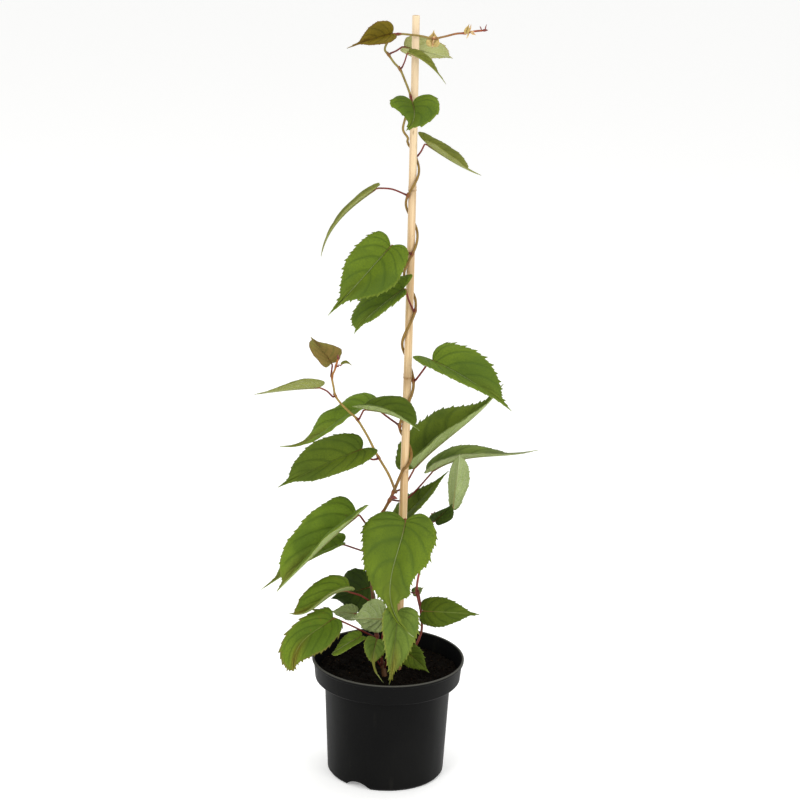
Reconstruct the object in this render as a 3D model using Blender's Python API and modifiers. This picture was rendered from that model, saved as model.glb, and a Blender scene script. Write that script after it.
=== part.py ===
"""Kiwi vine in a nursery pot: pot, soil, bamboo cane, twining stems and separate heart-shaped leaves.

The frame: +Z up, origin at the middle of the pot's underside, the open side of the plant towards -Y.
Points in the lists and in the leaf table are millimetres, and the other constants are metres.
"""

import math

import bmesh
import bpy
from mathutils import Matrix, Vector

MM = 0.001
GAP = 0.3 * MM

POT_HEIGHT = 135 * MM
POT_RIM_RADIUS = 85 * MM
POT_BAND_RADIUS = 81 * MM
POT_BAND_HEIGHT = 25 * MM
POT_SHOULDER_RADIUS = 70.3 * MM
POT_BASE_RADIUS = 65.2 * MM
POT_WALL = 2 * MM
POT_CHANNEL_HEIGHT = 5.5 * MM
POT_SIDES = 32
NOTCH_ANGLES = (-118, 2, 122)
NOTCH_HEIGHT = 7.5 * MM
NOTCH_WIDTH = 31 * MM
NOTCH_SIDES = 20
DRAIN_RADIUS = 4.5 * MM
DRAIN_SIDES = 8
DRAIN_CIRCLE = 53 * MM
CUTTER_DEPTH = 20 * MM

SOIL_LEVEL = 118 * MM
SOIL_MOUND = 3 * MM
SOIL_RADIUS = 78.6 * MM
SOIL_RINGS = (15, 30, 46, 62, 75)
SOIL_LUMP = 1.3 * MM

# The cane's ends, how far it bows out to the right halfway up, and the heights of its knuckles.
CANE_LOW = Vector((9, 0, 14)) * MM
CANE_HIGH = Vector((11.3, 0, 847)) * MM
CANE_BOW = 2.7 * MM
CANE_LOW_RADIUS = 4.9 * MM
CANE_HIGH_RADIUS = 3.9 * MM
CANE_NODES = (64, 222, 455, 662)
CANE_NODE_SWELL = 0.3 * MM
CANE_NODE_REACH = 2 * MM
CANE_STEP = 70 * MM
CANE_RESOLUTION = 3

STEM_RADIUS = 1.5 * MM
PETIOLE_RADIUS = 0.85 * MM
BLADE_THICKNESS = 0.7 * MM
STEM_STEP = 8 * MM
PETIOLE_STEP = 12 * MM
SNAP_STEP = 1 * MM
PETIOLE_LEAD = 1.5 * MM

# The main stem before it reaches the cane: out of the soil, then up behind the big front leaf.
STEM_FOOT = [
    (-2, -24, 96), (-3, -23, 119), (-8, -18, 142), (-14, -14, 171), (-18, -11, 205), (-21, -10, 234),
    (-22, -9, 260), (-19, -9, 286), (-10, -9, 307), (-1, -9, 326), (5, -9, 336),
]
# Where the climbing stem stands left, front, right and behind the cane, one quarter turn each.
TWINE_HEIGHTS = (
    345, 359, 374, 390, 407, 434, 456, 481, 501, 523, 544, 560, 577, 598, 619, 636, 654, 672, 689, 707, 720,
)
TWINE_START = 200
TWINE_CLEARANCE = 0.9 * MM
TWINE_PARTS = 3
# The loose end of the stem, above its last turn, which reaches out to the right.
STEM_TOP = [
    (1, -1, 728), (3, -6, 741), (7, -9, 753), (8, -9, 764), (1, -8, 782), (-4, -6, 792), (-10, -4, 798),
    (-16, -3, 806), (-20, -3, 811), (-18, -4, 818), (-13, -5, 824), (-6, -6, 828), (6, -8, 828),
    (18, -9, 827), (30, -9, 825), (41, -8, 827), (53, -6, 830), (63, -6, 831), (72, -6, 833), (80, -6, 834),
]
SIDE_SHOOT = [
    (2, -13, 337), (-5, -12, 353), (-16, -11, 371), (-21, -11, 380), (-29, -12, 396), (-40, -13, 414),
    (-47, -14, 421), (-57, -15, 431), (-64, -16, 441), (-66, -16, 450), (-68, -16, 462), (-65, -15, 470),
    (-62, -15, 482),
]
BASAL_SHOOT = [
    (22, 10, 98), (24, 11, 118), (29, 12, 138), (34, 13, 151), (37, 14, 164), (35, 14, 185), (30, 14, 209),
    (33, 14, 236), (37, 14, 263), (42, 13, 288), (45, 13, 300),
]

# Half a blade's outline: along the midrib (share of length), out from it (share of width), and the place
# on the midrib that its side vein starts from.
OUTLINE = (
    (0.00, 0.00, 0.00), (-0.055, 0.10, 0.00), (-0.075, 0.22, 0.00), (-0.045, 0.34, 0.00),
    (0.04, 0.43, 0.02), (0.15, 0.485, 0.06), (0.29, 0.50, 0.14), (0.44, 0.455, 0.26),
    (0.58, 0.365, 0.40), (0.71, 0.25, 0.55), (0.82, 0.14, 0.70), (0.915, 0.055, 0.85), (1.00, 0.00, 1.00),
)
# The share of a blade's length that is drawn out into its narrow drip tip, where a leaf gives no other.
DRIP = 0.08
TOOTH_OUT = 1.04
TOOTH_IN = 0.97
SMALL_LEAF = 24

# Every leaf: its node on the stem, its base and tip, the blade's width, the turn of its upper face away
# from the front about its own length, the fold of its plus and minus halves, the bow of its midrib up out of
# the blade and its sweep towards the plus half (near the base, near the tip), how far its two lobes reach
# back and how late its halves are widest, the arch of its petiole and its drip tip.
# A hanging leaf's plus half is on the right.
LEAVES = {
    "leaf_01_top_left": dict(node=(-6, -6, 828), base=(-13, -11, 829), tip=(-59, -14, 813), width=29,
                             turn=33, fold=(33, 33), bow=(3, 3), drip=0.2),
    "leaf_02_top_right": dict(node=(-16, -3, 806), base=(0, 12, 813), tip=(51, 20, 801), width=34,
                              turn=215, fold=(22, 7), late=(0.1, 0.25), lobe=(0.5, 0.5)),
    "leaf_03_top_folded": dict(node=(-4, -6, 792), base=(6, -13, 810), tip=(44, -22, 780), width=18,
                               turn=-75, fold=(25, 15), bow=(6, 5), drip=0.2),
    "leaf_04_upper_heart": dict(node=(8, -9, 764), base=(10, -18, 759), tip=(4, -42, 734), width=52,
                                turn=10, fold=(25, 20), bow=(4, 2), sweep=(5, 9), late=(0.1, -0.12),
                                lobe=(3, 3)),
    "leaf_05_upper_right": dict(node=(19, 2, 702), base=(27, 0, 713), tip=(84, -12, 684), width=36,
                                turn=-78, fold=(20, 34), bow=(-2, -4), late=(0.18, 0.1), lobe=(4, 1),
                                drip=0.2),
    "leaf_06_upper_slim": dict(node=(5, 0, 662), base=(-26, -6, 666), tip=(-82, -14, 593), width=38,
                               turn=86, fold=(16, 6), bow=(9, 16), arch=(0, 0, 3)),
    "leaf_07_left_heart": dict(node=(11, -9, 598), base=(-9, -16, 606), tip=(-73, -34, 534), width=62,
                               turn=20, fold=(24, 18), bow=(5, 4), sweep=(1, 2), late=(-0.04, 0),
                               drip=0.14),
    "leaf_08_under_heart": dict(node=(18, -6, 535), base=(5, -20, 561), tip=(-45, -22, 512), width=50,
                                turn=62, fold=(38, 14), sweep=(-4, -8), late=(0, 0.3), lobe=(1, 3.5)),
    "leaf_09_shoot_end": dict(node=(-68, -16, 462), base=(-69, -11, 476), tip=(-92, -3, 502), width=34,
                              turn=35, fold=(29, 20), bow=(2, 2), late=(0.3, -0.15), lobe=(0, 1),
                              drip=0.1),
    "leaf_10_right_heart": dict(node=(22, 0, 456), base=(39, -12, 482), tip=(125, -30, 433), width=62,
                                turn=-50, fold=(15, 37), bow=(8, 8), late=(0.12, -0.08),
                                lobe=(0.5, 2.5), drip=0.1),
    "leaf_11_left_long": dict(node=(6, 3, 407), base=(-26, 24, 420), tip=(-124, 4, 376), width=58,
                              turn=80, fold=(17, 13), bow=(10, -24), lobe=(1, 1.2), drip=0.12),
    "leaf_12_over_cane": dict(node=(-40, -13, 414), base=(-31, -24, 429), tip=(27, -34, 410), width=46,
                              turn=-70, fold=(23, 45), bow=(8, 8), late=(0.28, 0), lobe=(1, 3), drip=0.1),
    "leaf_13_left_thin": dict(node=(-64, -16, 441), base=(-81, -20, 451), tip=(-150, -34, 445), width=34,
                              turn=90, fold=(50, 22), bow=(2, 1), drip=0.1),
    "leaf_14_left_wide": dict(node=(-16, -11, 371), base=(-34, -24, 384), tip=(-123, -44, 345), width=58,
                              turn=45, fold=(28, 10), bow=(4, 3), late=(0, 0.1), lobe=(2, 0.7),
                              arch=(0, 0, -6)),
    "leaf_15_right_big": dict(node=(2, -9, 331), base=(23, 34, 345), tip=(120, 66, 436), width=72,
                              turn=-78, fold=(34, 38), bow=(4, -12), late=(-0.12, 0), lobe=(1.3, 0),
                              arch=(0, 9, -11)),
    "leaf_16_right_long": dict(node=(-3, -9, 322), base=(44, 60, 334), tip=(160, 50, 365), width=46,
                               turn=-90, fold=(26, 30), bow=(18, -4), lobe=(0, 0), drip=0.2,
                               arch=(-4, 8, -18)),
    "leaf_17_pale_upright": dict(node=(45, 13, 300), base=(67, 8, 307), tip=(73, 24, 366), width=30,
                                 turn=165, fold=(5, 37), late=(0.25, 0.25), lobe=(0, 0), drip=0.04),
    "leaf_18_dark_small": dict(node=(42, 13, 288), base=(48, 4, 295), tip=(66, -4, 318), width=24,
                               turn=-10, fold=(45, 5), late=(-0.1, 0.25)),
    "leaf_19_behind_cane": dict(node=(-10, -9, 307), base=(11, 34, 286), tip=(62, 38, 342), width=46,
                                turn=-75, fold=(13, 12), late=(-0.15, 0.1)),
    "leaf_20_front_heart": dict(node=(-17, -9, 290), base=(15, -32, 306), tip=(27, -58, 182), width=84,
                                turn=12, fold=(12, 8), bow=(6, 6), sweep=(-9, -44), late=(-0.05, -0.1),
                                drip=0.2),
    "leaf_21_left_big": dict(node=(-19, -9, 286), base=(-38, -18, 306), tip=(-123, -44, 225), width=80,
                             turn=60, fold=(47, 30), bow=(4, 2), late=(0, 0.2), lobe=(2, 0.6)),
    "leaf_22_left_behind": dict(node=(-22, -9, 260), base=(-55, 2, 265), tip=(-143, 8, 207), width=42,
                                turn=78, fold=(26, 20), bow=(5, 3), drip=0.1),
    "leaf_23_low_left": dict(node=(-18, -11, 205), base=(-46, -24, 221), tip=(-109, -48, 202), width=44,
                             turn=70, fold=(45, 28), bow=(16, -24), late=(0.1, 0.28), lobe=(1, 0.6)),
    "leaf_24_dark_behind": dict(node=(-17, -11, 200), base=(-22, 12, 212), tip=(-66, 30, 190), width=50,
                                turn=20, fold=(10, 10), bow=(3, 2)),
    "leaf_25_low_front_left": dict(node=(-12, -15, 165), base=(-62, -28, 189), tip=(-102, -72, 144),
                                   width=48, turn=8, fold=(18, 5), bow=(4, 4), sweep=(-6, -24),
                                   late=(0.2, 0.35), drip=0.04),
    "leaf_26_crumpled": dict(node=(-14, -14, 171), base=(-37, 2, 184), tip=(-67, 6, 184), width=20,
                             turn=190, fold=(20, 20), bow=(1, 1)),
    "leaf_27_pleated": dict(node=(-8, -18, 142), base=(-6, -30, 191), tip=(-42, -36, 193), width=44,
                            turn=185, fold=(30, 30), bow=(2, 2)),
    "leaf_28_low_front": dict(node=(-5, -21, 130), base=(9, -34, 202), tip=(2, -60, 126), width=50,
                              turn=-26, fold=(26, 26), bow=(3, 3)),
    "leaf_29_low_curled": dict(node=(-6, -20, 134), base=(-13, -26, 165), tip=(-4, -52, 125), width=26,
                               turn=-20, fold=(15, 15), bow=(3, 1), sweep=(-8, -14), lobe=(0.5, 0.5),
                               drip=0.4),
    "leaf_30_low_right": dict(node=(26, 11, 130), base=(19, -14, 148), tip=(46, -28, 128), width=25,
                              turn=-20, fold=(10, 10), bow=(2, 2)),
    "leaf_31_in_pot_left": dict(node=(-6, -20, 133), base=(-30, -26, 168), tip=(-62, -42, 153), width=20,
                                turn=48, fold=(28, 10), bow=(3, 2), late=(0.35, 0), drip=0.03),
    "leaf_32_low_right_long": dict(node=(30, 14, 209), base=(38, 2, 189), tip=(100, -14, 193), width=34,
                                   turn=-33, fold=(-5, -5), bow=(2, 2)),
    "leaf_33_small_behind": dict(node=(29, 15, 205), base=(26, 22, 203), tip=(38, 26, 208), width=12,
                                 turn=10, fold=(8, 8), bow=(1, 1)),
    "leaf_34_young_top": dict(node=(30, -9, 825), base=(29, -4, 817), tip=(30, -4, 833), width=15,
                              turn=0, fold=(25, 25)),
    "leaf_35_young_tip": dict(node=(62, -6, 831), base=(63, -10, 832), tip=(66, -11, 841), width=6,
                              turn=0, fold=(25, 25)),
    "leaf_36_young_shoot": dict(node=(-63, -15, 474), base=(-58, -17, 477), tip=(-47, -19, 476), width=6,
                                turn=-75, fold=(20, 20), bow=(3, 3)),
}


def clear_scene():
    for found in list(bpy.data.objects):
        bpy.data.objects.remove(found, do_unlink=True)


def new_collection(name):
    collection = bpy.data.collections.new(name)
    bpy.context.scene.collection.children.link(collection)
    return collection


def material(name, colour, roughness, metallic=0.0):
    made = bpy.data.materials.new(name)
    made.use_nodes = True
    shader = made.node_tree.nodes["Principled BSDF"]
    shader.inputs["Base Color"].default_value = (*colour, 1.0)
    shader.inputs["Roughness"].default_value = roughness
    shader.inputs["Metallic"].default_value = metallic
    made.diffuse_color = (*colour, 1.0)
    return made


def add_object(name, data, collection, finish=None):
    made = bpy.data.objects.new(name, data)
    collection.objects.link(made)
    if finish:
        data.materials.append(finish)
    return made


def as_tool(made):
    """Marks an object as one that only cuts another."""
    made.hide_render = True
    made.display_type = "WIRE"
    return made


def cut(target, tool):
    step = target.modifiers.new("cut_" + tool.name, "BOOLEAN")
    step.operation = "DIFFERENCE"
    step.object = tool
    step.solver = "EXACT"


def turned(name, profile, sides, collection, finish=None):
    """A solid turned about Z from a profile of (radius, height), down its outer side."""
    data = bpy.data.meshes.new(name)
    points = [(radius, 0.0, height) for radius, height in profile]
    edges = [(i, i + 1) for i in range(len(points) - 1)]
    data.from_pydata(points, edges, [])
    made = add_object(name, data, collection, finish)
    screw = made.modifiers.new("turn", "SCREW")
    screw.angle = 2 * math.pi
    screw.steps = sides
    screw.render_steps = sides
    screw.use_merge_vertices = True
    screw.merge_threshold = 0.00002
    screw.use_smooth_shade = True
    return made


def evaluated_mesh(made):
    graph = bpy.context.evaluated_depsgraph_get()
    graph.update()
    return bpy.data.meshes.new_from_object(made.evaluated_get(graph))


def millimetres(points):
    return [Vector(point) * MM for point in points]


def smooth_route(points, step):
    """Points about a step apart on a smooth curve through a route's own points."""
    found = []
    for i in range(len(points) - 1):
        before = points[max(i - 1, 0)]
        start, end = points[i], points[i + 1]
        after = points[min(i + 2, len(points) - 1)]
        count = max(1, round((end - start).length / step))
        for k in range(count):
            t = k / count
            found.append(0.5 * (
                2 * start + (end - before) * t
                + (2 * before - 5 * start + 4 * end - after) * t ** 2
                + (3 * start - before - 3 * end + after) * t ** 3
            ))
    found.append(points[-1])
    return found


def tube(name, points, radii, collection, resolution=1):
    """A closed tube through the points, as a mesh object."""
    curve = bpy.data.curves.new(name, "CURVE")
    curve.dimensions = "3D"
    curve.bevel_depth = 1.0
    curve.bevel_resolution = resolution
    curve.use_fill_caps = True
    curve.render_resolution_u = 0
    spline = curve.splines.new("POLY")
    spline.points.add(len(points) - 1)
    for place, point, radius in zip(spline.points, points, radii):
        place.co = (*point, 1.0)
        place.radius = radius
    drawn = add_object(name + "_curve", curve, collection)
    data = evaluated_mesh(drawn)
    data.name = name
    work = bmesh.new()
    work.from_mesh(data)
    bmesh.ops.remove_doubles(work, verts=work.verts, dist=0.00002)
    bmesh.ops.recalc_face_normals(work, faces=work.faces)
    work.to_mesh(data)
    work.free()
    made = add_object(name, data, collection)
    made.matrix_world = drawn.matrix_world
    bpy.data.objects.remove(drawn, do_unlink=True)
    data.shade_smooth()
    return made


def make_pot(shown, tools, finish):
    band_low = POT_HEIGHT - POT_BAND_HEIGHT
    floor = POT_CHANNEL_HEIGHT + POT_WALL
    profile = [
        (0, POT_WALL), (42 * MM, POT_WALL), (45 * MM, floor), (POT_BASE_RADIUS - POT_WALL, floor),
        (POT_SHOULDER_RADIUS - POT_WALL, band_low - POT_WALL),
        (POT_BAND_RADIUS - 3.5 * MM, band_low + 1.5 * MM), (POT_BAND_RADIUS - POT_WALL, band_low + 4 * MM),
        (POT_RIM_RADIUS - 2.2 * MM, POT_HEIGHT), (POT_RIM_RADIUS - 0.6 * MM, POT_HEIGHT),
        (POT_RIM_RADIUS, POT_HEIGHT - 0.8 * MM), (POT_RIM_RADIUS - 0.2 * MM, POT_HEIGHT - 3.2 * MM),
        (POT_BAND_RADIUS + 1.9 * MM, POT_HEIGHT - 4.6 * MM), (POT_BAND_RADIUS, band_low + 1.6 * MM),
        (POT_BAND_RADIUS - 1.4 * MM, band_low), (POT_SHOULDER_RADIUS, band_low - 1.6 * MM),
        (POT_BASE_RADIUS, 3 * MM), (POT_BASE_RADIUS - 2.4 * MM, 0), (POT_BASE_RADIUS - 4.4 * MM, 0),
        (POT_BASE_RADIUS - 5 * MM, POT_CHANNEL_HEIGHT), (46 * MM, POT_CHANNEL_HEIGHT), (43 * MM, 0), (0, 0),
    ]
    pot = turned("pot", profile, POT_SIDES, shown, finish)
    radius = (NOTCH_WIDTH ** 2 / 4 + NOTCH_HEIGHT ** 2) / (2 * NOTCH_HEIGHT)
    for number, angle in enumerate(NOTCH_ANGLES):
        heading = Matrix.Rotation(math.radians(angle), 4, "Z")
        bpy.ops.mesh.primitive_cylinder_add(vertices=NOTCH_SIDES, radius=radius, depth=CUTTER_DEPTH)
        notch = bpy.context.object
        notch.name = "notch_cutter_" + str(number + 1)
        notch.matrix_world = (
            heading
            @ Matrix.Translation((POT_BASE_RADIUS, 0, NOTCH_HEIGHT - radius))
            @ Matrix.Rotation(math.pi / 2, 4, "Y")
        )
        bpy.ops.mesh.primitive_cylinder_add(vertices=DRAIN_SIDES, radius=DRAIN_RADIUS, depth=CUTTER_DEPTH)
        drain = bpy.context.object
        drain.name = "drain_cutter_" + str(number + 1)
        drain.matrix_world = heading @ Matrix.Translation((DRAIN_CIRCLE, 0, floor))
        for cutter in (notch, drain):
            for home in list(cutter.users_collection):
                home.objects.unlink(cutter)
            tools.objects.link(as_tool(cutter))
            cut(pot, cutter)
    return pot


def around(radius, resolution):
    """The radius of a tube whose flat sides clear a round piece by the gap."""
    return (radius + GAP) / math.cos(math.pi / (4 + 2 * resolution))


def make_soil(shown, tools, finish, stems):
    inner = POT_BASE_RADIUS - POT_WALL
    shoulder = POT_SHOULDER_RADIUS - POT_WALL
    band_low = POT_HEIGHT - POT_BAND_HEIGHT
    low = POT_CHANNEL_HEIGHT + POT_WALL + 3 * GAP
    profile = [(0, SOIL_LEVEL + SOIL_MOUND)]
    for ring in SOIL_RINGS:
        reach = ring * MM
        profile.append((reach, SOIL_LEVEL + SOIL_MOUND * math.cos(reach / SOIL_RADIUS * math.pi / 2)))
    profile += [
        (SOIL_RADIUS, SOIL_LEVEL - 1 * MM), (78 * MM, band_low + 4.4 * MM), (76.5 * MM, band_low + 2.4 * MM),
        (shoulder - 0.4 * MM, band_low - POT_WALL + 0.6 * MM), (inner - 0.8 * MM, low + 3 * MM),
        (inner - 3 * MM, low), (0, low),
    ]
    soil = turned("soil", profile, POT_SIDES // 2, shown, finish)
    data = evaluated_mesh(soil)
    soil.modifiers.clear()
    for point in data.vertices:
        x, y, z = point.co
        if z > SOIL_LEVEL - 0.5 * MM:
            lumps = math.sin(x * 173 + 1.3) * math.cos(y * 211 + 0.4) + 0.6 * math.sin((x + y) * 397)
            point.co.z = z + SOIL_LUMP * lumps
    soil.data = data
    data.name = "soil"
    heights = [CANE_LOW.z - GAP, CANE_LOW.z + 60 * MM, CANE_LOW.z + 120 * MM]
    bore_radius = around(CANE_LOW_RADIUS + CANE_NODE_SWELL, CANE_RESOLUTION)
    bores = [tube("cane_bore", [cane_centre(z) for z in heights], [bore_radius] * 3, tools, CANE_RESOLUTION)]
    for name, route in stems:
        lead = (route[1] - route[0]).normalized()
        path = [route[0] - lead * GAP] + smooth_route(route[:3], STEM_STEP)[1:]
        bores.append(tube(name + "_bore", path, [around(STEM_RADIUS * 1.3, 1)] * len(path), tools))
    for bore in bores:
        cut(soil, as_tool(bore))
    return soil


def cane_share(height):
    return (height - CANE_LOW.z) / (CANE_HIGH.z - CANE_LOW.z)


def cane_centre(height):
    share = cane_share(height)
    return CANE_LOW.lerp(CANE_HIGH, share) + Vector((CANE_BOW * math.sin(math.pi * share), 0, 0))


def cane_radius(height):
    return CANE_LOW_RADIUS + (CANE_HIGH_RADIUS - CANE_LOW_RADIUS) * cane_share(height)


def make_cane(shown, finish):
    """A bowed tapering rod with a slight knuckle at each node."""
    places = [(CANE_LOW.z, 0.0), (CANE_HIGH.z, 0.0)]
    for node in millimetres([(0, 0, height) for height in CANE_NODES]):
        places += [(node.z + CANE_NODE_REACH * side, 0.0) for side in (-1, 1)]
        places.append((node.z, CANE_NODE_SWELL))
    count = round((CANE_HIGH.z - CANE_LOW.z) / CANE_STEP)
    for i in range(1, count):
        height = CANE_LOW.z + (CANE_HIGH.z - CANE_LOW.z) * i / count
        if min(abs(height - place[0]) for place in places) > CANE_STEP / 4:
            places.append((height, 0.0))
    places.sort()
    points = [cane_centre(height) for height, _ in places]
    radii = [cane_radius(height) + swell for height, swell in places]
    cane = tube("bamboo_cane", points, radii, shown, CANE_RESOLUTION)
    cane.data.materials.append(finish)
    return cane


def twine_route():
    """The climbing stretch: a quarter turn about the cane between one height and the next."""
    points = []
    for step in range((len(TWINE_HEIGHTS) - 1) * TWINE_PARTS + 1):
        quarter = step / TWINE_PARTS
        low = min(int(quarter), len(TWINE_HEIGHTS) - 2)
        height = TWINE_HEIGHTS[low] + (TWINE_HEIGHTS[low + 1] - TWINE_HEIGHTS[low]) * (quarter - low)
        angle = math.radians(TWINE_START + 90 * quarter - 20 * math.exp(-quarter))
        reach = cane_radius(height * MM) + STEM_RADIUS + TWINE_CLEARANCE
        points.append(cane_centre(height * MM) + Vector((math.cos(angle), math.sin(angle), 0)) * reach)
    return points


def tapered(points, low, high):
    return [low + (high - low) * i / (len(points) - 1) for i in range(len(points))]


def make_stem(name, route, low, high, shown, finish):
    points = smooth_route(route, STEM_STEP)
    stem = tube(name, points, tapered(points, low, high), shown)
    stem.data.materials.append(finish)
    return stem


def places_along(route, low, high):
    """Close points along a stem, each with the stem's direction and radius there."""
    points = smooth_route(route, SNAP_STEP)
    ends = points[1:] + points[-1:]
    starts = points[:1] + points[:-1]
    directions = [(end - start).normalized() for start, end in zip(starts, ends)]
    return list(zip(points, directions, tapered(points, low, high)))


def bezier(a, b, c, d, t):
    s = 1 - t
    return a * s ** 3 + b * (3 * s * s * t) + c * (3 * s * t * t) + d * t ** 3


class Blade:
    """Maps a place on the flat leaf to its place on the bent one."""

    def __init__(self, leaf):
        base, tip = millimetres([leaf["base"], leaf["tip"]])
        self.length = (tip - base).length
        self.width = leaf["width"] * MM
        axis = (tip - base).normalized()
        front = Vector((0, -1, 0))
        front = (front - axis * front.dot(axis)).normalized()
        side = front.cross(axis)
        turn = math.radians(leaf["turn"])
        self.side = side * math.cos(turn) + front * math.sin(turn)
        face = front * math.cos(turn) - side * math.sin(turn)
        bow = leaf.get("bow", (0, 0))
        sweep = leaf.get("sweep", (0, 0))
        self.spine = (
            base,
            base.lerp(tip, 1 / 3) + (face * bow[0] + self.side * sweep[0]) * MM,
            base.lerp(tip, 2 / 3) + (face * bow[1] + self.side * sweep[1]) * MM,
            tip,
        )
        self.fold = [math.radians(value) for value in leaf["fold"]]

    def frame(self, along):
        t = min(max(along, 0.0), 1.0)
        ahead = bezier(*self.spine, min(t + 0.01, 1.0)) - bezier(*self.spine, max(t - 0.01, 0.0))
        ahead.normalize()
        side = self.side - ahead * self.side.dot(ahead)
        side.normalize()
        centre = bezier(*self.spine, t) + ahead * (along - t) * self.length
        return centre, side, ahead.cross(side)

    def place(self, along, out, half):
        """half is 1 on the plus half and -1 on the minus one."""
        centre, side, face = self.frame(along)
        reach = out * self.width
        fold = self.fold[0 if half > 0 else 1]
        return centre + side * (half * reach * math.cos(fold)) + face * (reach * math.sin(fold))


def petiole_points(leaf, blade, stem_places):
    """Squarely off the stem, along an arch, and in through the notch at the blade's base."""
    aim = Vector(leaf["node"]) * MM
    node, tangent, radius = min(stem_places, key=lambda place: (place[0] - aim).length)
    centre, _, face = blade.frame(0)
    ahead = (blade.frame(0.02)[0] - centre).normalized()
    middle = node.lerp(centre, 0.5) + Vector(leaf.get("arch", (0, 0, 0))) * MM
    outward = middle - node
    outward = (outward - tangent * outward.dot(tangent)).normalized()
    start = node + outward * (radius + GAP)
    lead = start + outward * PETIOLE_LEAD
    near = centre - ahead * 2.5 * MM - face * 1.5 * MM
    return [start] + smooth_route([lead, middle, near, centre], PETIOLE_STEP)


def side_by_side(points, side):
    """A side direction at each point, carried back from the last one without twisting."""
    sides = [side]
    for i in range(len(points) - 1, 0, -1):
        ahead = (points[i] - points[max(i - 2, 0)]).normalized()
        side = (side - ahead * side.dot(ahead)).normalized()
        sides.append(side)
    return sides[::-1]


def outline_rows(leaf, half):
    """One half's outline, with the leaf's own lobe, widest place and drip tip."""
    which = 0 if half > 0 else 1
    lobe = leaf.get("lobe", (1, 1))[which]
    late = leaf.get("late", (0, 0))[which]
    keep = 1 - leaf.get("drip", DRIP)
    rows = OUTLINE if leaf["width"] >= SMALL_LEAF else OUTLINE[::2]
    found = []
    for along, out, foot in rows[:-1]:
        shaped = along * lobe if along < 0 else along + late * 4 * along * (1 - along)
        found.append((shaped * keep, out, foot * keep))
    return found + [rows[-1]]


def leaf_mesh(name, leaf, stem_places):
    """The blade and its petiole as one open sheet, which the thickness makes solid."""
    blade = Blade(leaf)
    work = bmesh.new()
    weight = work.verts.layers.deform.verify()

    def add(point, thick):
        vert = work.verts.new(point)
        vert[weight][0] = thick
        return vert

    slim = PETIOLE_RADIUS * min(1.0, 0.6 + leaf["width"] / 150)
    points = petiole_points(leaf, blade, stem_places)
    pairs = []
    for point, side in zip(points, side_by_side(points, blade.frame(0)[1])):
        pairs.append([add(point + side * slim * half, slim / PETIOLE_RADIUS) for half in (1, -1)])
    for low, high in zip(pairs, pairs[1:]):
        work.faces.new((low[0], high[0], high[1], low[1]))

    thin = BLADE_THICKNESS / 2 / PETIOLE_RADIUS
    midrib = {}
    for half in (1, -1):
        junction = pairs[-1][0 if half > 0 else 1]
        veins = []
        for number, (along, out, foot) in enumerate(outline_rows(leaf, half)):
            if foot > 0 and foot not in midrib:
                midrib[foot] = add(blade.place(foot, 0, half), thin)
            inner = midrib[foot] if foot > 0 else junction
            tooth = TOOTH_OUT if number % 2 else TOOTH_IN
            outer = add(blade.place(along, out * tooth, half), thin) if out > 0 else inner
            veins.append((inner, outer))
        for low, high in zip(veins, veins[1:]):
            corners = list(dict.fromkeys((low[0], high[0], high[1], low[1])))
            if len(corners) > 2:
                work.faces.new(corners if half < 0 else corners[::-1])
    work.faces.new((pairs[-1][0], midrib[min(midrib)], pairs[-1][1]))
    bmesh.ops.triangulate(work, faces=work.faces)
    data = bpy.data.meshes.new(name)
    work.to_mesh(data)
    work.free()
    data.shade_smooth()
    return data


def make_leaf(name, leaf, stem_places, shown, finish):
    made = add_object(name, leaf_mesh(name, leaf, stem_places), shown, finish)
    made.vertex_groups.new(name="thick")
    shell = made.modifiers.new("thickness", "SOLIDIFY")
    shell.thickness = 2 * PETIOLE_RADIUS
    shell.offset = 0
    shell.vertex_group = "thick"
    return made


def main():
    clear_scene()
    shown = new_collection("kiwi_vine")
    tools = new_collection("cutters")
    black = material("pot_black_plastic", (0.012, 0.012, 0.013), 0.45)
    peat = material("soil_peat", (0.02, 0.014, 0.01), 0.95)
    bamboo = material("bamboo_tan", (0.62, 0.42, 0.2), 0.5)
    bark = material("stem_bark", (0.2, 0.1, 0.03), 0.6)
    green = material("leaf_green", (0.11, 0.2, 0.03), 0.55)

    climb = millimetres(STEM_FOOT) + twine_route() + millimetres(STEM_TOP)
    side = millimetres(SIDE_SHOOT)
    basal = millimetres(BASAL_SHOOT)
    make_pot(shown, tools, black)
    make_soil(shown, tools, peat, (("main_stem", climb), ("basal_shoot", basal)))
    make_cane(shown, bamboo)
    stem_places = []
    for name, route, low, high in (
        ("main_stem", climb, STEM_RADIUS * 1.3, STEM_RADIUS * 0.7),
        ("side_shoot", side, STEM_RADIUS, STEM_RADIUS * 0.7),
        ("basal_shoot", basal, STEM_RADIUS, STEM_RADIUS * 0.8),
    ):
        make_stem(name, route, low, high, shown, bark)
        stem_places += places_along(route, low, high)
    for name, leaf in LEAVES.items():
        make_leaf(name, leaf, stem_places, shown, green)


main()
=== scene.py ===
# Kiwi vine in a black nursery pot, twining up a bamboo cane.
# Dictionaries hold millimetres and degrees. The camera, the studio and the meshes are in metres.
# +Z is up, the open front is towards -Y.

import math
import random

import bmesh
import bpy
from mathutils import Matrix, Vector, noise


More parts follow.
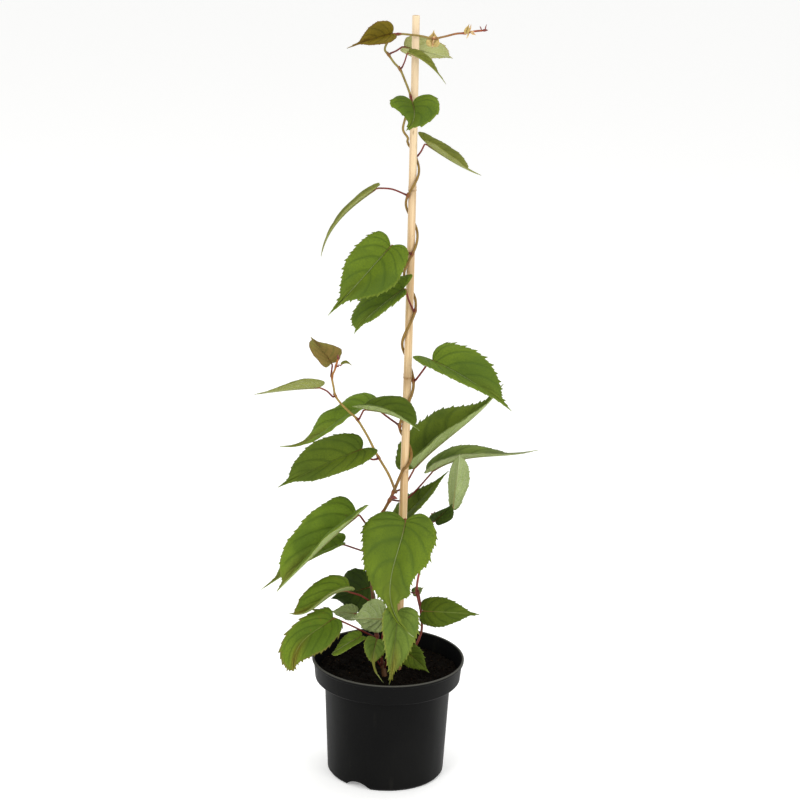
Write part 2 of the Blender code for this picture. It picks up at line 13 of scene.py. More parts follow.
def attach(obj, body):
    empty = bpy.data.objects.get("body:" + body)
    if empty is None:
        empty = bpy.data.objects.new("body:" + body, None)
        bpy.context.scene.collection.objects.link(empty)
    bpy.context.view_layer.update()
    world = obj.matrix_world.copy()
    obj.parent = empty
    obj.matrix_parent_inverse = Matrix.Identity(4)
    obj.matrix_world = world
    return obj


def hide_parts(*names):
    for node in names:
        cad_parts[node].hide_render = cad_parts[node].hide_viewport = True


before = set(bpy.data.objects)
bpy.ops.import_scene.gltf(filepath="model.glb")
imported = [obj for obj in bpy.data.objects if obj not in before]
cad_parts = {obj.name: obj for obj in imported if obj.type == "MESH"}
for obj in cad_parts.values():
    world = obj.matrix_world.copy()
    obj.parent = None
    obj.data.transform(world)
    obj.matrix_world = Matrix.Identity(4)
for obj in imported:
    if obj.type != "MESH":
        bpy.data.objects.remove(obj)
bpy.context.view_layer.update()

mm = 0.001
vineScene = bpy.context.scene


# Small helpers

def screenColour(code):  # "#rrggbb" to linear
    parts = [int(code[i:i + 2], 16) / 255 for i in (1, 3, 5)]
    return tuple(c / 12.92 if c <= 0.04045 else ((c + 0.055) / 1.055) ** 2.4 for c in parts) + (1.0,)


def inMetres(points):
    return [Vector(point) * mm for point in points]


def easeBetween(value, low, high):
    t = min(max((value - low) / (high - low), 0.0), 1.0)
    return t * t * (3 - 2 * t)


def throughPoints(before, start, end, after, t):
    return 0.5 * (
        2 * start + (end - before) * t
        + (2 * before - 5 * start + 4 * end - after) * t ** 2
        + (3 * start - before - 3 * end + after) * t ** 3
    )


def smoothRoute(points, step):
    found = []
    for i in range(len(points) - 1):
        before = points[max(i - 1, 0)]
        after = points[min(i + 2, len(points) - 1)]
        count = max(1, round((points[i + 1] - points[i]).length / step))
        for k in range(count):
            found.append(throughPoints(before, points[i], points[i + 1], after, k / count))
    found.append(points[-1])
    return found


def bell(value, reach):
    return math.exp(-(value / reach) ** 2)


def squareTo(axis, vector):  # the part of a vector that stands square to an axis
    return (vector - axis * vector.dot(axis)).normalized()


def arcPoint(start, corner, end, t):
    return start * (1 - t) ** 2 + corner * (2 * t * (1 - t)) + end * t * t


def circle(sides):
    return [(math.cos(a), math.sin(a)) for a in (2 * math.pi * k / sides for k in range(sides))]


def addObject(name, data):
    made = bpy.data.objects.new(name, data)
    vineScene.collection.objects.link(made)
    return made


def settledMesh(shape, *cutters):  # the mesh with its modifiers carried out
    graph = bpy.context.evaluated_depsgraph_get()
    graph.update()
    mesh = bpy.data.meshes.new_from_object(shape.evaluated_get(graph))
    for used in (*cutters, shape):
        bpy.data.objects.remove(used, do_unlink=True)
    return mesh


def newMaterial(name, sockets):
    made = bpy.data.materials.new(name)
    made.use_nodes = True
    for label, value in sockets.items():
        made.node_tree.nodes["Principled BSDF"].inputs[label].default_value = value
    return made, made.node_tree


# Camera, floor and lights

cameraSet = {
    "place": (0.0, -2.4, 1.1386),
    "right": (0.99964, 0.0054, 0.02619),
    "up": (-0.02665, 0.28188, 0.95908),
    "lens": 104.1, "sensor": 36, "farthest": 50,
}


def makeCamera():
    data = bpy.data.cameras.new("photoCamera")
    data.lens = cameraSet["lens"]
    data.sensor_width = cameraSet["sensor"]
    data.sensor_fit = "HORIZONTAL"
    data.clip_end = cameraSet["farthest"]
    right = Vector(cameraSet["right"]).normalized()
    up = squareTo(right, Vector(cameraSet["up"]))
    turn = Matrix((right, up, right.cross(up))).transposed().to_4x4()
    vineScene.camera = addObject("photoCamera", data)
    vineScene.camera.matrix_world = Matrix.Translation(cameraSet["place"]) @ turn


studio = {
    "worldColour": "#ffffff", "worldStrength": 0.72,
    "floorColour": "#f7f7f6", "floorGlow": 0.30, "floorRoughness": 0.9, "floorSize": 40.0,
    # name, place, aimed at, size, watts
    "softboxes": (
        ("keyLight", (-1.3, -2.2, 2.3), (0.0, 0.0, 0.45), 1.2, 31.0),
        ("fillLight", (1.8, -1.9, 1.3), (0.0, 0.0, 0.45), 1.6, 20.0),
        ("topLight", (0.2, 0.5, 2.6), (0.0, 0.0, 0.4), 1.5, 16.0),
    ),
}


def makeStudio():
    world = bpy.data.worlds.new("studioWorld")
    world.use_nodes = True
    sky = world.node_tree.nodes["Background"]
    sky.inputs["Color"].default_value = screenColour(studio["worldColour"])
    sky.inputs["Strength"].default_value = studio["worldStrength"]
    vineScene.world = world
    half = studio["floorSize"] / 2
    data = bpy.data.meshes.new("paleFloor")
    corners = [(-half, -half, 0), (half, -half, 0), (half, half, 0), (-half, half, 0)]
    data.from_pydata(corners, [], [(0, 1, 2, 3)])
    floor = addObject("paleFloor", data)
    colour = screenColour(studio["floorColour"])
    paint, _ = newMaterial("floorPaint", {
        "Base Color": colour, "Roughness": studio["floorRoughness"],
        "Emission Color": colour, "Emission Strength": studio["floorGlow"],
    })
    data.materials.append(paint)
    for name, place, target, size, watts in studio["softboxes"]:
        lamp = bpy.data.lights.new(name, "AREA")
        lamp.shape = "DISK"
        lamp.size = size
        lamp.energy = watts
        made = addObject(name, lamp)
        made.location = place
        made.rotation_euler = (Vector(target) - Vector(place)).to_track_quat("-Z", "Y").to_euler()
    vineScene.view_settings.view_transform = "Standard"


makeCamera()
makeStudio()
print("camera, floor and lights are ready")


# Shader helpers

def addNode(tree, kind, **settings):
    node = tree.nodes.new(kind)
    for name, value in settings.items():
        setattr(node, name, value)
    return node


def feed(tree, value, socket):  # a link, a plain value, or a colour as "#rrggbb"
    if isinstance(value, bpy.types.NodeSocket):
        tree.links.new(value, socket)
    else:
        socket.default_value = screenColour(value) if isinstance(value, str) else value


def feedAll(tree, node, values):
    for label, value in values.items():
        feed(tree, value, node.inputs[label])
    return node


def calc(tree, operation, *values):
    node = addNode(tree, "ShaderNodeMath", operation=operation)
    return feedAll(tree, node, dict(enumerate(values))).outputs[0]


def times(tree, first, second):
    return calc(tree, "MULTIPLY", first, second)


def blendColour(tree, factor, first, second):
    node = addNode(tree, "ShaderNodeMix", data_type="RGBA")
    return feedAll(tree, node, {0: factor, 6: first, 7: second}).outputs[2]


def layered(tree, colour, *layers):  # each layer: a mask, its strength and the colour laid over
    for mask, strength, over in layers:
        colour = blendColour(tree, times(tree, mask, strength), colour, over)
    return colour


def stepUp(tree, value, low, high):
    node = addNode(tree, "ShaderNodeMapRange", interpolation_type="SMOOTHSTEP")
    return feedAll(tree, node, {"Value": value, "From Min": low, "From Max": high}).outputs["Result"]


def splitUp(tree, value):
    return feedAll(tree, addNode(tree, "ShaderNodeSeparateXYZ"), {0: value}).outputs


def colourRamp(tree, factor, stops):
    node = addNode(tree, "ShaderNodeValToRGB")
    ramp = node.color_ramp
    while len(ramp.elements) < len(stops):
        ramp.elements.new(0.5)
    for element, (place, code) in zip(ramp.elements, stops):
        element.position = place
        element.color = screenColour(code)
    feed(tree, factor, node.inputs["Fac"])
    return node.outputs["Color"]


def newGroup(name, inputs, outputs):
    group = bpy.data.node_groups.new(name, "ShaderNodeTree")
    for label, kind, value in inputs:
        socket = group.interface.new_socket(name=label, in_out="INPUT", socket_type="NodeSocket" + kind)
        socket.default_value = value
    for label in outputs:
        group.interface.new_socket(name=label, in_out="OUTPUT", socket_type="NodeSocketFloat")
    return group, group.nodes.new("NodeGroupInput").outputs, group.nodes.new("NodeGroupOutput")


def useGroup(tree, group, **values):
    return feedAll(tree, addNode(tree, "ShaderNodeGroup", node_tree=group), values).outputs


def makePatches():  # soft patches at a chosen size, stretched along an axis where asked
    group, given, made = newGroup(
        "softPatches",
        (("Scale", "Float", 40.0), ("Detail", "Float", 3.0), ("Stretch", "Vector", (1, 1, 1))),
        ("Mask",),
    )
    place = addNode(group, "ShaderNodeTexCoord").outputs["Object"]
    stretch = addNode(group, "ShaderNodeVectorMath", operation="MULTIPLY")
    feedAll(group, stretch, {0: place, 1: given["Stretch"]})
    cloud = feedAll(group, addNode(group, "ShaderNodeTexNoise"), {
        "Vector": stretch.outputs[0], "Scale": given["Scale"], "Detail": given["Detail"]})
    feedAll(group, made, {"Mask": cloud.outputs["Fac"]})
    return group


veinSet = {
    "rows": 12, "perRow": 0.62, "forward": 1.25, "bend": 1.5, "netScale": 4.2, "netDepth": 0.5,
    # where each mask begins and where it is full
    "fade": (1.02, 0.75), "line": (0.88, 0.97), "rib": (0.075, 0.03), "net": (0.09, 0.015),
    "margin": (0.93, 0.995), "foot": (2.2, 0.2),
}


def makeVeins():  # the leaf's ribs, side veins, fine net and margin, from its two maps
    group, given, made = newGroup(
        "leafVeins",
        (("Vein", "Vector", (0, 0, 0)), ("Flat", "Vector", (0, 0, 0)), ("Width", "Float", 0.25)),
        ("Valley", "Line", "Rib", "Net", "Margin", "Along", "Foot", "Height"),
    )

    def fromMiddle(value):  # 0 at one half, 1 at both ends
        return times(group, calc(group, "ABSOLUTE", calc(group, "SUBTRACT", value, 0.5)), 2.0)

    def mask(name, value):
        return stepUp(group, value, *veinSet[name])

    vein, flat = splitUp(group, given["Vein"]), splitUp(group, given["Flat"])
    near = fromMiddle(calc(group, "FRACT", times(group, vein[0], veinSet["rows"] * veinSet["perRow"])))
    out = fromMiddle(vein[1])
    fade = mask("fade", out)
    low = calc(group, "SUBTRACT", 1.0, given["Width"])
    line = times(group, mask("line", near), fade)
    cells = feedAll(group, addNode(group, "ShaderNodeTexVoronoi", feature="DISTANCE_TO_EDGE"), {
        "Vector": given["Flat"], "Scale": veinSet["netScale"]})
    net = mask("net", cells.outputs["Distance"])
    depth = calc(group, "MAXIMUM", line, times(group, net, veinSet["netDepth"]))
    feedAll(group, made, {
        "Valley": times(group, stepUp(group, near, low, 1.0), fade), "Line": line, "Net": net,
        "Rib": mask("rib", calc(group, "ABSOLUTE", flat[1])), "Margin": mask("margin", out),
        "Along": vein[0], "Foot": mask("foot", flat[0]), "Height": calc(group, "SUBTRACT", 0.0, depth),
    })
    return group


softPatches = makePatches()
leafVeins = makeVeins()


def patches(tree, scale, detail=3.0, stretch=(1.0, 1.0, 1.0)):
    return useGroup(tree, softPatches, Scale=scale, Detail=detail, Stretch=stretch)["Mask"]


def readMap(tree, name):
    return addNode(tree, "ShaderNodeUVMap", uv_map=name).outputs["UV"]


def finished(made, colour, height, depth, strength=1.0):  # the material with its colour and bump
    tree = made.node_tree
    bump = feedAll(tree, addNode(tree, "ShaderNodeBump"), {
        "Strength": strength, "Distance": depth, "Height": height})
    feedAll(tree, tree.nodes["Principled BSDF"], {"Base Color": colour, "Normal": bump.outputs["Normal"]})
    return made


print("shader groups are ready")


# Leaf finishes: top, its shaded patches, painted shade in the vein valleys, rib, edge, blotches, underside and tip

leafParts = ("top", "shade", "valleyShade", "rib", "edge", "blotch", "under", "tip")
leafLooks = {  # a colour for each part, and how much of the leaf is blotched
    "fresh": ("#63781c #52671a #42581a #9aa672 #7b8a2a #74662a #8da05a #737f28", 0.08),
    "bright": ("#6b8320 #566e18 #455b14 #98a45c #808e30 #6a552c #9dad6a #6c5632", 0.16),
    "dark": ("#5a6b16 #495b12 #38490c #6c7a38 #66752a #4f5a1c #98a864 #5f7024", 0.06),
    # painted shade: a darkened copy of the leaf colours, for leaves that lie in shade
    "deepShade": ("#384a0e #2a3a0a #1f2c07 #465628 #42521a #34340f #5f7040 #394a18", 0.06),
    "olive": ("#7a7f30 #666c26 #575d20 #92955a #8a8a40 #746230 #8a9048 #807a3e", 0.10),
    "bronze": ("#6f5f10 #5b4f0e #4b430c #80703a #74401c #6e4420 #858444 #6c4622", 0.20),
    "rosy": ("#787a34 #7c6834 #64642a #8a8244 #744a2a #865838 #8e8e50 #644530", 0.25),
    "young": ("#a3a95a #8e9a48 #848d44 #b0b46e #9c6d3a #a0885a #a9ae72 #9c7e48", 0.10),
    "cream": ("#cdb878 #bda463 #b59c5e #d3c48a #c9935a #c08a52 #cbbd80 #c9a066", 0.10),
    "silver": ("#74864a #62763a #52662e #9ca878 #7f8e52 #6c6e40 #96a468 #84905a", 0.08),
    "netted": ("#75863c #60722e #4d6024 #9ca66e #6c6840 #5d6a30 #929f62 #77706a", 0.08),
    "worn": ("#667c1c #536a18 #435814 #86924a #84703a #8a5424 #8c9c5c #84552a", 0.42),
    "yellowing": ("#6c8030 #5c722a #4d6224 #8e9a5e #8e9238 #8a7a38 #93a466 #b09a44", 0.12),
}


topPaint = {
    "roughness": 0.62, "gloss": 0.13, "veinWidth": 0.42, "patchScale": 26.0, "fineScale": 210.0,
    "shade": (0.36, 0.64), "valleyShade": 0.5, "net": 0.38, "tipFrom": (0.62, 1.0), "tip": 0.55, "blotch": 0.7,
    "edge": 0.55, "rib": 0.75, "ribFoot": "#7c4428", "fineBump": 0.8, "bump": (0.0004, 0.8),
}
underPaint = {
    "roughness": 0.7, "gloss": 0.15, "veinWidth": 0.6, "patchScale": 40.0, "green": (0.3, 1.1),
    "valleyShade": 0.42, "net": 0.35, "line": 0.5, "rib": 0.7, "edge": 0.4,
    "light": (1.0, 1.0, 0.84, 1.0), "lighter": 0.3, "bump": (0.0003, 0.8),
}


def leafBase(name, paint):
    made, tree = newMaterial(name, {"Roughness": paint["roughness"], "Specular IOR Level": paint["gloss"]})
    veins = useGroup(tree, leafVeins, Vein=readMap(tree, "veins"), Flat=readMap(tree, "flat"),
                     Width=paint["veinWidth"])
    return made, tree, veins, patches(tree, paint["patchScale"])


def leafTop(name, look, spots):
    p = topPaint
    made, tree, veins, broad = leafBase("leafTop_" + name, p)
    fine = patches(tree, p["fineScale"], 5.0)
    colour = layered(
        tree, blendColour(tree, stepUp(tree, broad, *p["shade"]), look["shade"], look["top"]),
        # painted shade: the side-vein valleys and the fine net between the pillows are darkened with the valley
        # shade colour
        (veins["Valley"], p["valleyShade"], look["valleyShade"]),
        (veins["Net"], p["net"], look["valleyShade"]),
        (stepUp(tree, veins["Along"], *p["tipFrom"]), p["tip"], look["tip"]),
        (stepUp(tree, fine, 0.74 - 0.2 * spots, 0.80 - 0.12 * spots), p["blotch"], look["blotch"]),
        (veins["Margin"], p["edge"], look["edge"]),
        (veins["Rib"], p["rib"], layered(tree, look["rib"], (veins["Foot"], p["rib"], p["ribFoot"]))),
    )
    height = calc(tree, "ADD", veins["Height"], times(tree, fine, p["fineBump"]))
    return finished(made, colour, height, *p["bump"])


def leafUnder(name, look):
    p = underPaint
    made, tree, veins, broad = leafBase("leafUnder_" + name, p)
    pale, green = look["under"], look["top"]
    mask = times(tree, veins["Net"], p["net"])
    for label, strength in (("Line", p["line"]), ("Rib", p["rib"])):
        mask = calc(tree, "MAXIMUM", mask, times(tree, veins[label], strength))
    colour = blendColour(tree, stepUp(tree, broad, *p["green"]), pale, green)
    # painted shade: the valleys of the pleats take the darker green of the top
    colour = layered(tree, colour, (veins["Valley"], p["valleyShade"], green))
    colour = blendColour(tree, mask, colour, blendColour(tree, p["lighter"], pale, p["light"]))
    colour = layered(tree, colour, (veins["Margin"], p["edge"], look["edge"]))
    return finished(made, colour, times(tree, veins["Height"], -1.0), *p["bump"])


def stalkFinish():  # red at the stem, rosy along, pale green where it is the blade's rib
    made, tree = newMaterial("leafStalk", {"Roughness": 0.5, "Specular IOR Level": 0.35})
    colour = colourRamp(tree, splitUp(tree, readMap(tree, "veins"))[0], (
        (0.0, "#4e160e"), (0.12, "#6c2016"), (0.4, "#7a2a1c"), (0.5, "#80482a"), (0.56, "#848348"),
        (1.0, "#98a464"),
    ))
    cloud = patches(tree, 300.0)
    colour = layered(tree, colour, (stepUp(tree, cloud, 0.45, 0.7), 0.3, "#4a1c12"))
    return finished(made, colour, cloud, 0.00015, 0.6)


finishTop, finishUnder = {}, {}
for name, (codes, spots) in leafLooks.items():
    look = dict(zip(leafParts, codes.split()))
    finishTop[name] = leafTop(name, look, spots)
    finishUnder[name] = leafUnder(name, look)
finishStalk = stalkFinish()
print("leaf finishes are ready")


# Finishes of the pot, soil, cane and stems

def potFinish():
    made, tree = newMaterial("potPlastic", {"Specular IOR Level": 0.06})
    scuffs = patches(tree, 60.0, 8.0, (1.0, 1.0, 0.15))
    dust, grain = patches(tree, 9.0, 6.0), patches(tree, 1600.0, 2.0)
    height = splitUp(tree, addNode(tree, "ShaderNodeTexCoord").outputs["Object"])[2]
    colour = layered(
        tree, blendColour(tree, stepUp(tree, dust, 0.42, 0.75), "#0a0a0a", "#111110"),
        (stepUp(tree, scuffs, 0.62, 0.72), 0.3, "#24231f"),
        (stepUp(tree, height, 0.1336, 0.1346), 0.8, "#53524c"),  # painted highlight: the top edge of the lip is lighter
    )
    rough = calc(tree, "ADD", 0.36, times(tree, scuffs, 0.24))
    feedAll(tree, tree.nodes["Principled BSDF"], {"Roughness": rough})
    return finished(made, colour, calc(tree, "ADD", grain, times(tree, scuffs, 0.6)), 0.00008, 0.7)


def soilFinish(name, dark, light):
    made, tree = newMaterial(name, {"Roughness": 0.95, "Specular IOR Level": 0.05})
    specks = patches(tree, 420.0, 6.0)
    colour = blendColour(tree, stepUp(tree, patches(tree, 45.0), 0.35, 0.7), dark, "#100c08")
    colour = blendColour(tree, stepUp(tree, specks, 0.60, 0.72), colour, light)
    return finished(made, colour, specks, 0.0008)


def caneFinish():
    made, tree = newMaterial("bambooSkin", {"Roughness": 0.46, "Coat Weight": 0.08})
    along, knuckle, _ = splitUp(tree, readMap(tree, "veins"))
    fibres = patches(tree, 900.0, 4.0, (1.0, 1.0, 0.012))
    streaks = patches(tree, 260.0, 3.0, (1.0, 1.0, 0.03))
    flecks = patches(tree, 150.0, 5.0, (1.0, 1.0, 0.35))
    colour = layered(
        tree, blendColour(tree, stepUp(tree, streaks, 0.38, 0.62), "#c29c68", "#dabd90"),
        (stepUp(tree, fibres, 0.5, 0.7), 0.35, "#a07848"),
        (stepUp(tree, along, 0.32, 0.02), 0.7, "#bd8752"),
        (stepUp(tree, along, 0.55, 1.0), 0.6, "#ecd8b8"),
        (knuckle, stepUp(tree, streaks, 0.2, 0.7), "#8f6a38"),
        (stepUp(tree, flecks, 0.68, 0.76), 0.6, "#7d5a31"),
    )
    return finished(made, colour, fibres, 0.00012, 0.8)


def stemFinish(name, stops):  # the stops run from the foot to the growing end
    made, tree = newMaterial(name, {"Roughness": 0.55, "Specular IOR Level": 0.35})
    along, node, _ = splitUp(tree, readMap(tree, "veins"))
    streaks = patches(tree, 420.0, 4.0, (1.0, 1.0, 0.25))
    colour = layered(
        tree, colourRamp(tree, along, stops),
        (stepUp(tree, streaks, 0.45, 0.66), 0.45, "#5c3c1a"), (node, 0.6, "#7c2e1c"),
    )
    return finished(made, colour, streaks, 0.0002)


def budFinish(name, inner, outer):
    made, tree = newMaterial(name, {"Roughness": 0.55, "Sheen Weight": 0.3})
    cloud = patches(tree, 500.0)
    return finished(made, blendColour(tree, stepUp(tree, cloud, 0.35, 0.65), inner, outer), cloud, 0.0002)


finishPot = potFinish()
finishSoil = soilFinish("pottingPeat", "#080604", "#241911")
finishCrumb = soilFinish("peatCrumbs", "#120c08", "#42301f")
finishCane = caneFinish()
finishStem = stemFinish("mainStemBark", (
    (0.0, "#523719"), (0.05, "#553418"), (0.16, "#5c3619"), (0.27, "#7c5a26"), (0.4, "#8a6a2c"),
    (0.74, "#8a6e30"), (0.86, "#8a8040"), (0.94, "#8a753a"), (0.985, "#964828"),
))
finishShoot = stemFinish("sideShootBark", (
    (0.0, "#5f4122"), (0.15, "#96793a"), (0.8, "#98823c"), (1.0, "#b0662c"),
))
finishBasal = stemFinish("basalShootBark", (
    (0.0, "#6d3526"), (0.5, "#94423a"), (0.75, "#b9655b"), (1.0, "#8f4a38"),
))
finishBud = budFinish("redBud", "#84301e", "#5c1c12")
finishPaleBud = budFinish("paleBud", "#d2bd88", "#c48e58")
print("pot, soil, cane and stem finishes are ready")


# Meshes from tubes

def carriedSides(points, side):
    sides = []
    for i in range(len(points)):
        ahead = (points[min(i + 1, len(points) - 1)] - points[max(i - 1, 0)]).normalized()
        side = squareTo(ahead, side)
        sides.append((side, ahead.cross(side)))
    return sides


def uvMaps(work):
    layers = work.loops.layers.uv
    return [layers.get(name) or layers.new(name) for name in ("veins", "flat")]


def addFace(work, maps, corners, marks, slotNumber=0):
    face = work.faces.new(corners)
    face.material_index = slotNumber
    face.smooth = True
    for loop, mark in zip(face.loops, marks):
        for uvMap in maps:
            loop[uvMap].uv = mark


def joinRings(work, maps, rings, marks, slotNumber=0):
    for low, high, lowMark, highMark in zip(rings, rings[1:], marks, marks[1:]):
        for k in range(len(low)):
            n = (k + 1) % len(low)
            addFace(work, maps, (low[k], low[n], high[n], high[k]), (lowMark, lowMark, highMark, highMark),
                    slotNumber)


def addTube(work, points, radii, sides, slotNumber=0, marks=None, flat=1.0):
    maps = uvMaps(work)
    rings = []
    for point, radius, (side, rise) in zip(points, radii, carriedSides(points, Vector((0.3, 0.8, 0.5)))):
        rings.append([
            work.verts.new(point + (side * x + rise * y * flat) * radius) for x, y in circle(sides)
        ])
    marks = marks or [(i / (len(points) - 1), 0.0) for i in range(len(points))]
    joinRings(work, maps, rings, marks, slotNumber)
    for ring, mark in ((rings[0][::-1], marks[0]), (rings[-1], marks[-1])):
        addFace(work, maps, ring, [mark] * sides, slotNumber)


def addLevelTube(work, points, radii, sides, marks):  # level rings, where a tube would turn back on itself
    maps = uvMaps(work)
    rings = []
    for point, radius in zip(points, radii):
        rings.append([work.verts.new(point + Vector((x, y, 0)) * radius) for x, y in circle(sides)])
    joinRings(work, maps, rings, marks)
    work.faces.new(rings[0][::-1])
    work.faces.new(rings[-1])


def addBud(work, base, tip, width, slotNumber=0, flat=1.0, bend=(0, 0, 0)):
    middle = base.lerp(tip, 0.5) + Vector(bend) * mm
    shares = [i / 9 for i in range(10)]
    points = [arcPoint(base, middle, tip, t) for t in shares]
    radii = [max(width / 2 * math.sin(math.pi * (0.12 + 0.86 * t) ** 0.8), 0.06 * mm) for t in shares]
    addTube(work, points, radii, 8, slotNumber, flat=flat)


def makePiece(name, work, finishes, nodes=()):
    if not nodes:
        bmesh.ops.recalc_face_normals(work, faces=work.faces)
    data = bpy.data.meshes.new(name)
    work.to_mesh(data)
    work.free()
    for finish in finishes:
        data.materials.append(finish)
    made = addObject(name, data)
    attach(made, "root")
    if nodes:
        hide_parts(*nodes)
    return made


# Cane

caneSet = {
    "low": (9, 0, 14), "high": (11.3, 0, 847), "bow": 2.7,
    "lowRadius": 4.9, "highRadius": 3.9, "knuckles": (64, 222, 459, 664),
    "ridge": 0.5, "groove": 0.12, "step": 8.0, "fineStep": 0.8, "sides": 40,
    "pithRadius": 1.7, "pithFoot": 1.2, "pithDepth": 7,
}


def caneShare(height):
    return (height / mm - caneSet["low"][2]) / (caneSet["high"][2] - caneSet["low"][2])


def caneCentre(height):
    share = caneShare(height)
    low, high = inMetres((caneSet["low"], caneSet["high"]))
    return low.lerp(high, share) + Vector((caneSet["bow"] * mm * math.sin(math.pi * share), 0, 0))


def caneRadius(height):
    return (caneSet["lowRadius"] + (caneSet["highRadius"] - caneSet["lowRadius"]) * caneShare(height)) * mm


def caneForm(height):  # radius with the knuckles' double ridge, and how brown it is there
    radius, brown = caneRadius(height), 0.0
    for knuckle in caneSet["knuckles"]:
        away = height / mm - knuckle
        radius += caneSet["ridge"] * mm * (bell(away, 1.0) + 0.7 * bell(away - 3.2, 1.3))
        radius -= caneSet["groove"] * mm * bell(away + 1.8, 0.8)
        brown = max(brown, bell(away, 2.2), 0.55 * bell(away, 11))
    return radius, brown


def makeCane():
    top, bottom = caneSet["high"][2], caneSet["low"][2]
    step, fine = caneSet["step"], caneSet["fineStep"]
    heights = [bottom + step * i for i in range(int((top - bottom) / step) + 1)]
    for knuckle in caneSet["knuckles"]:
        heights = [h for h in heights if abs(h - knuckle) > step + 1]
        heights += [knuckle - step + fine * i for i in range(round(2 * step / fine) + 1)]
    heights = sorted(h for h in heights if h < top - 1) + [top - 0.5, top]
    points = [caneCentre(h * mm) for h in heights]
    forms = [caneForm(h * mm) for h in heights]
    radii = [radius for radius, _ in forms]
    radii[-1] -= 0.3 * mm
    marks = [(caneShare(h * mm), brown) for h, (_, brown) in zip(heights, forms)]
    pith = caneSet["pithRadius"]
    for depth, radius in ((0, pith + 0.3), (0.5, pith), (caneSet["pithDepth"], caneSet["pithFoot"])):
        points.append(caneCentre((top - depth) * mm))
        radii.append(radius * mm)
        marks.append((1.0, 0.8))
    work = bmesh.new()
    addLevelTube(work, points, radii, caneSet["sides"], marks)
    return makePiece("cane_bamboo", work, [finishCane], ["bamboo_cane"])


makeCane()
print("cane is ready")


# Stems

stemSet = {
    "radius": 1.5, "clearance": 0.9, "swell": 0.45, "swellReach": 2.2, "redReach": 2.8, "sides": 14,
    "step": 1.5, "knobs": 0.05, "knobScale": 300, "budFrom": 10,
    "twineStart": 200,
    "twineHeights": (345, 359, 374, 390, 407, 434, 456, 481, 501, 523, 544, 560, 577, 598, 619, 636, 654, 672,
                     689, 707, 720),
    "foot": [(-2, -24, 96), (-3, -23, 119), (-8, -18, 142), (-14, -14, 171), (-18, -11, 205), (-21, -10, 234),
             (-22, -9, 260), (-19, -9, 286), (-10, -9, 307), (-1, -9, 326), (5, -9, 336)],
    "top": [(1, -1, 728), (3, -6, 741), (7, -9, 753), (8, -9, 764), (1, -8, 782), (-4, -6, 792),
            (-10, -4, 798), (-16, -3, 806), (-20, -3, 811), (-18, -4, 818), (-13, -5, 824), (-6, -6, 828),
            (6, -8, 828), (18, -9, 827), (30, -9, 825), (41, -8, 827), (53, -6, 830), (63, -6, 831), (72, -6, 833),
            (80, -6, 834)],
    "side": [(2, -13, 337), (-5, -12, 353), (-16, -11, 371), (-21, -11, 380), (-29, -12, 396),
             (-40, -13, 414), (-47, -14, 421), (-57, -15, 431), (-64, -16, 441), (-66, -16, 450),
             (-68, -16, 462), (-65, -15, 470), (-62, -15, 482)],
    "basal": [(22, 10, 98), (24, 11, 118), (29, 12, 138), (34, 13, 151), (37, 14, 164), (35, 14, 185),
              (30, 14, 209), (33, 14, 236), (37, 14, 263), (42, 13, 288), (45, 13, 300)],
}


def twineRoute():  # a quarter turn about the cane between one height and the next
    heights = stemSet["twineHeights"]
    points = []
    for step in range((len(heights) - 1) * 3 + 1):
        quarter = step / 3
        low = min(int(quarter), len(heights) - 2)
        height = (heights[low] + (heights[low + 1] - heights[low]) * (quarter - low)) * mm
        angle = math.radians(stemSet["twineStart"] + 90 * quarter - 20 * math.exp(-quarter))
        reach = caneRadius(height) + (stemSet["radius"] + stemSet["clearance"]) * mm
        points.append(caneCentre(height) + Vector((math.cos(angle), math.sin(angle), 0)) * reach)
    return points


def taper(count, low, high):
    return [low + (high - low) * i / (count - 1) for i in range(count)]


def placesAlong(route, low, high):
    points = smoothRoute(route, 1 * mm)
    ends = points[1:] + points[-1:]
    starts = points[:1] + points[:-1]
    directions = [(end - start).normalized() for start, end in zip(starts, ends)]
    return list(zip(points, directions, taper(len(points), low, high)))


def stemPlaceOf(leaf):
    aim = Vector(leaf["node"]) * mm
    return min(stemPlaces, key=lambda place: (place[0] - aim).length)


stemRadius = stemSet["radius"] * mm
stemRoutes = {
    "main_stem": (inMetres(stemSet["foot"][:-1]) + twineRoute()[2:] + inMetres(stemSet["top"]),
                  stemRadius * 1.3, stemRadius * 0.7, finishStem),
    "side_shoot": (inMetres([(4, -9, 331)] + stemSet["side"]), stemRadius, stemRadius * 0.7, finishShoot),
    "basal_shoot": (inMetres(stemSet["basal"]), stemRadius, stemRadius * 0.8, finishBasal),
}
stemPlaces = []
for route, low, high, _ in stemRoutes.values():
    stemPlaces += placesAlong(route, low, high)


# Leaves. In order: node on the stem, base, tip, width, turn of the face away from the front, fold of the plus
# and minus halves, look. Then where they differ from plain: bow and sweep of the midrib, late (how far the
# halves' widest place moves to the tip), lobe of either half, arch of the stalk, length of the drip tip,
# quilt (swellings between the veins), wave (of the margin) and teeth (their depth).
# margin holds where the outline stands out or in: which half (0 both), outline row, reach in rows, change.

def leafForm(node, base, tip, width, turn, fold, look, **more):
    plain = dict(bow=(0, 0), sweep=(0, 0), late=(0, 0), lobe=(1, 1), arch=(0, 0, 0), drip=0.08,
                 quilt=1.0, wave=1.0, teeth=1.0, margin=())
    return dict(plain, node=node, base=base, tip=tip, width=width, turn=turn, fold=fold, look=look, **more)


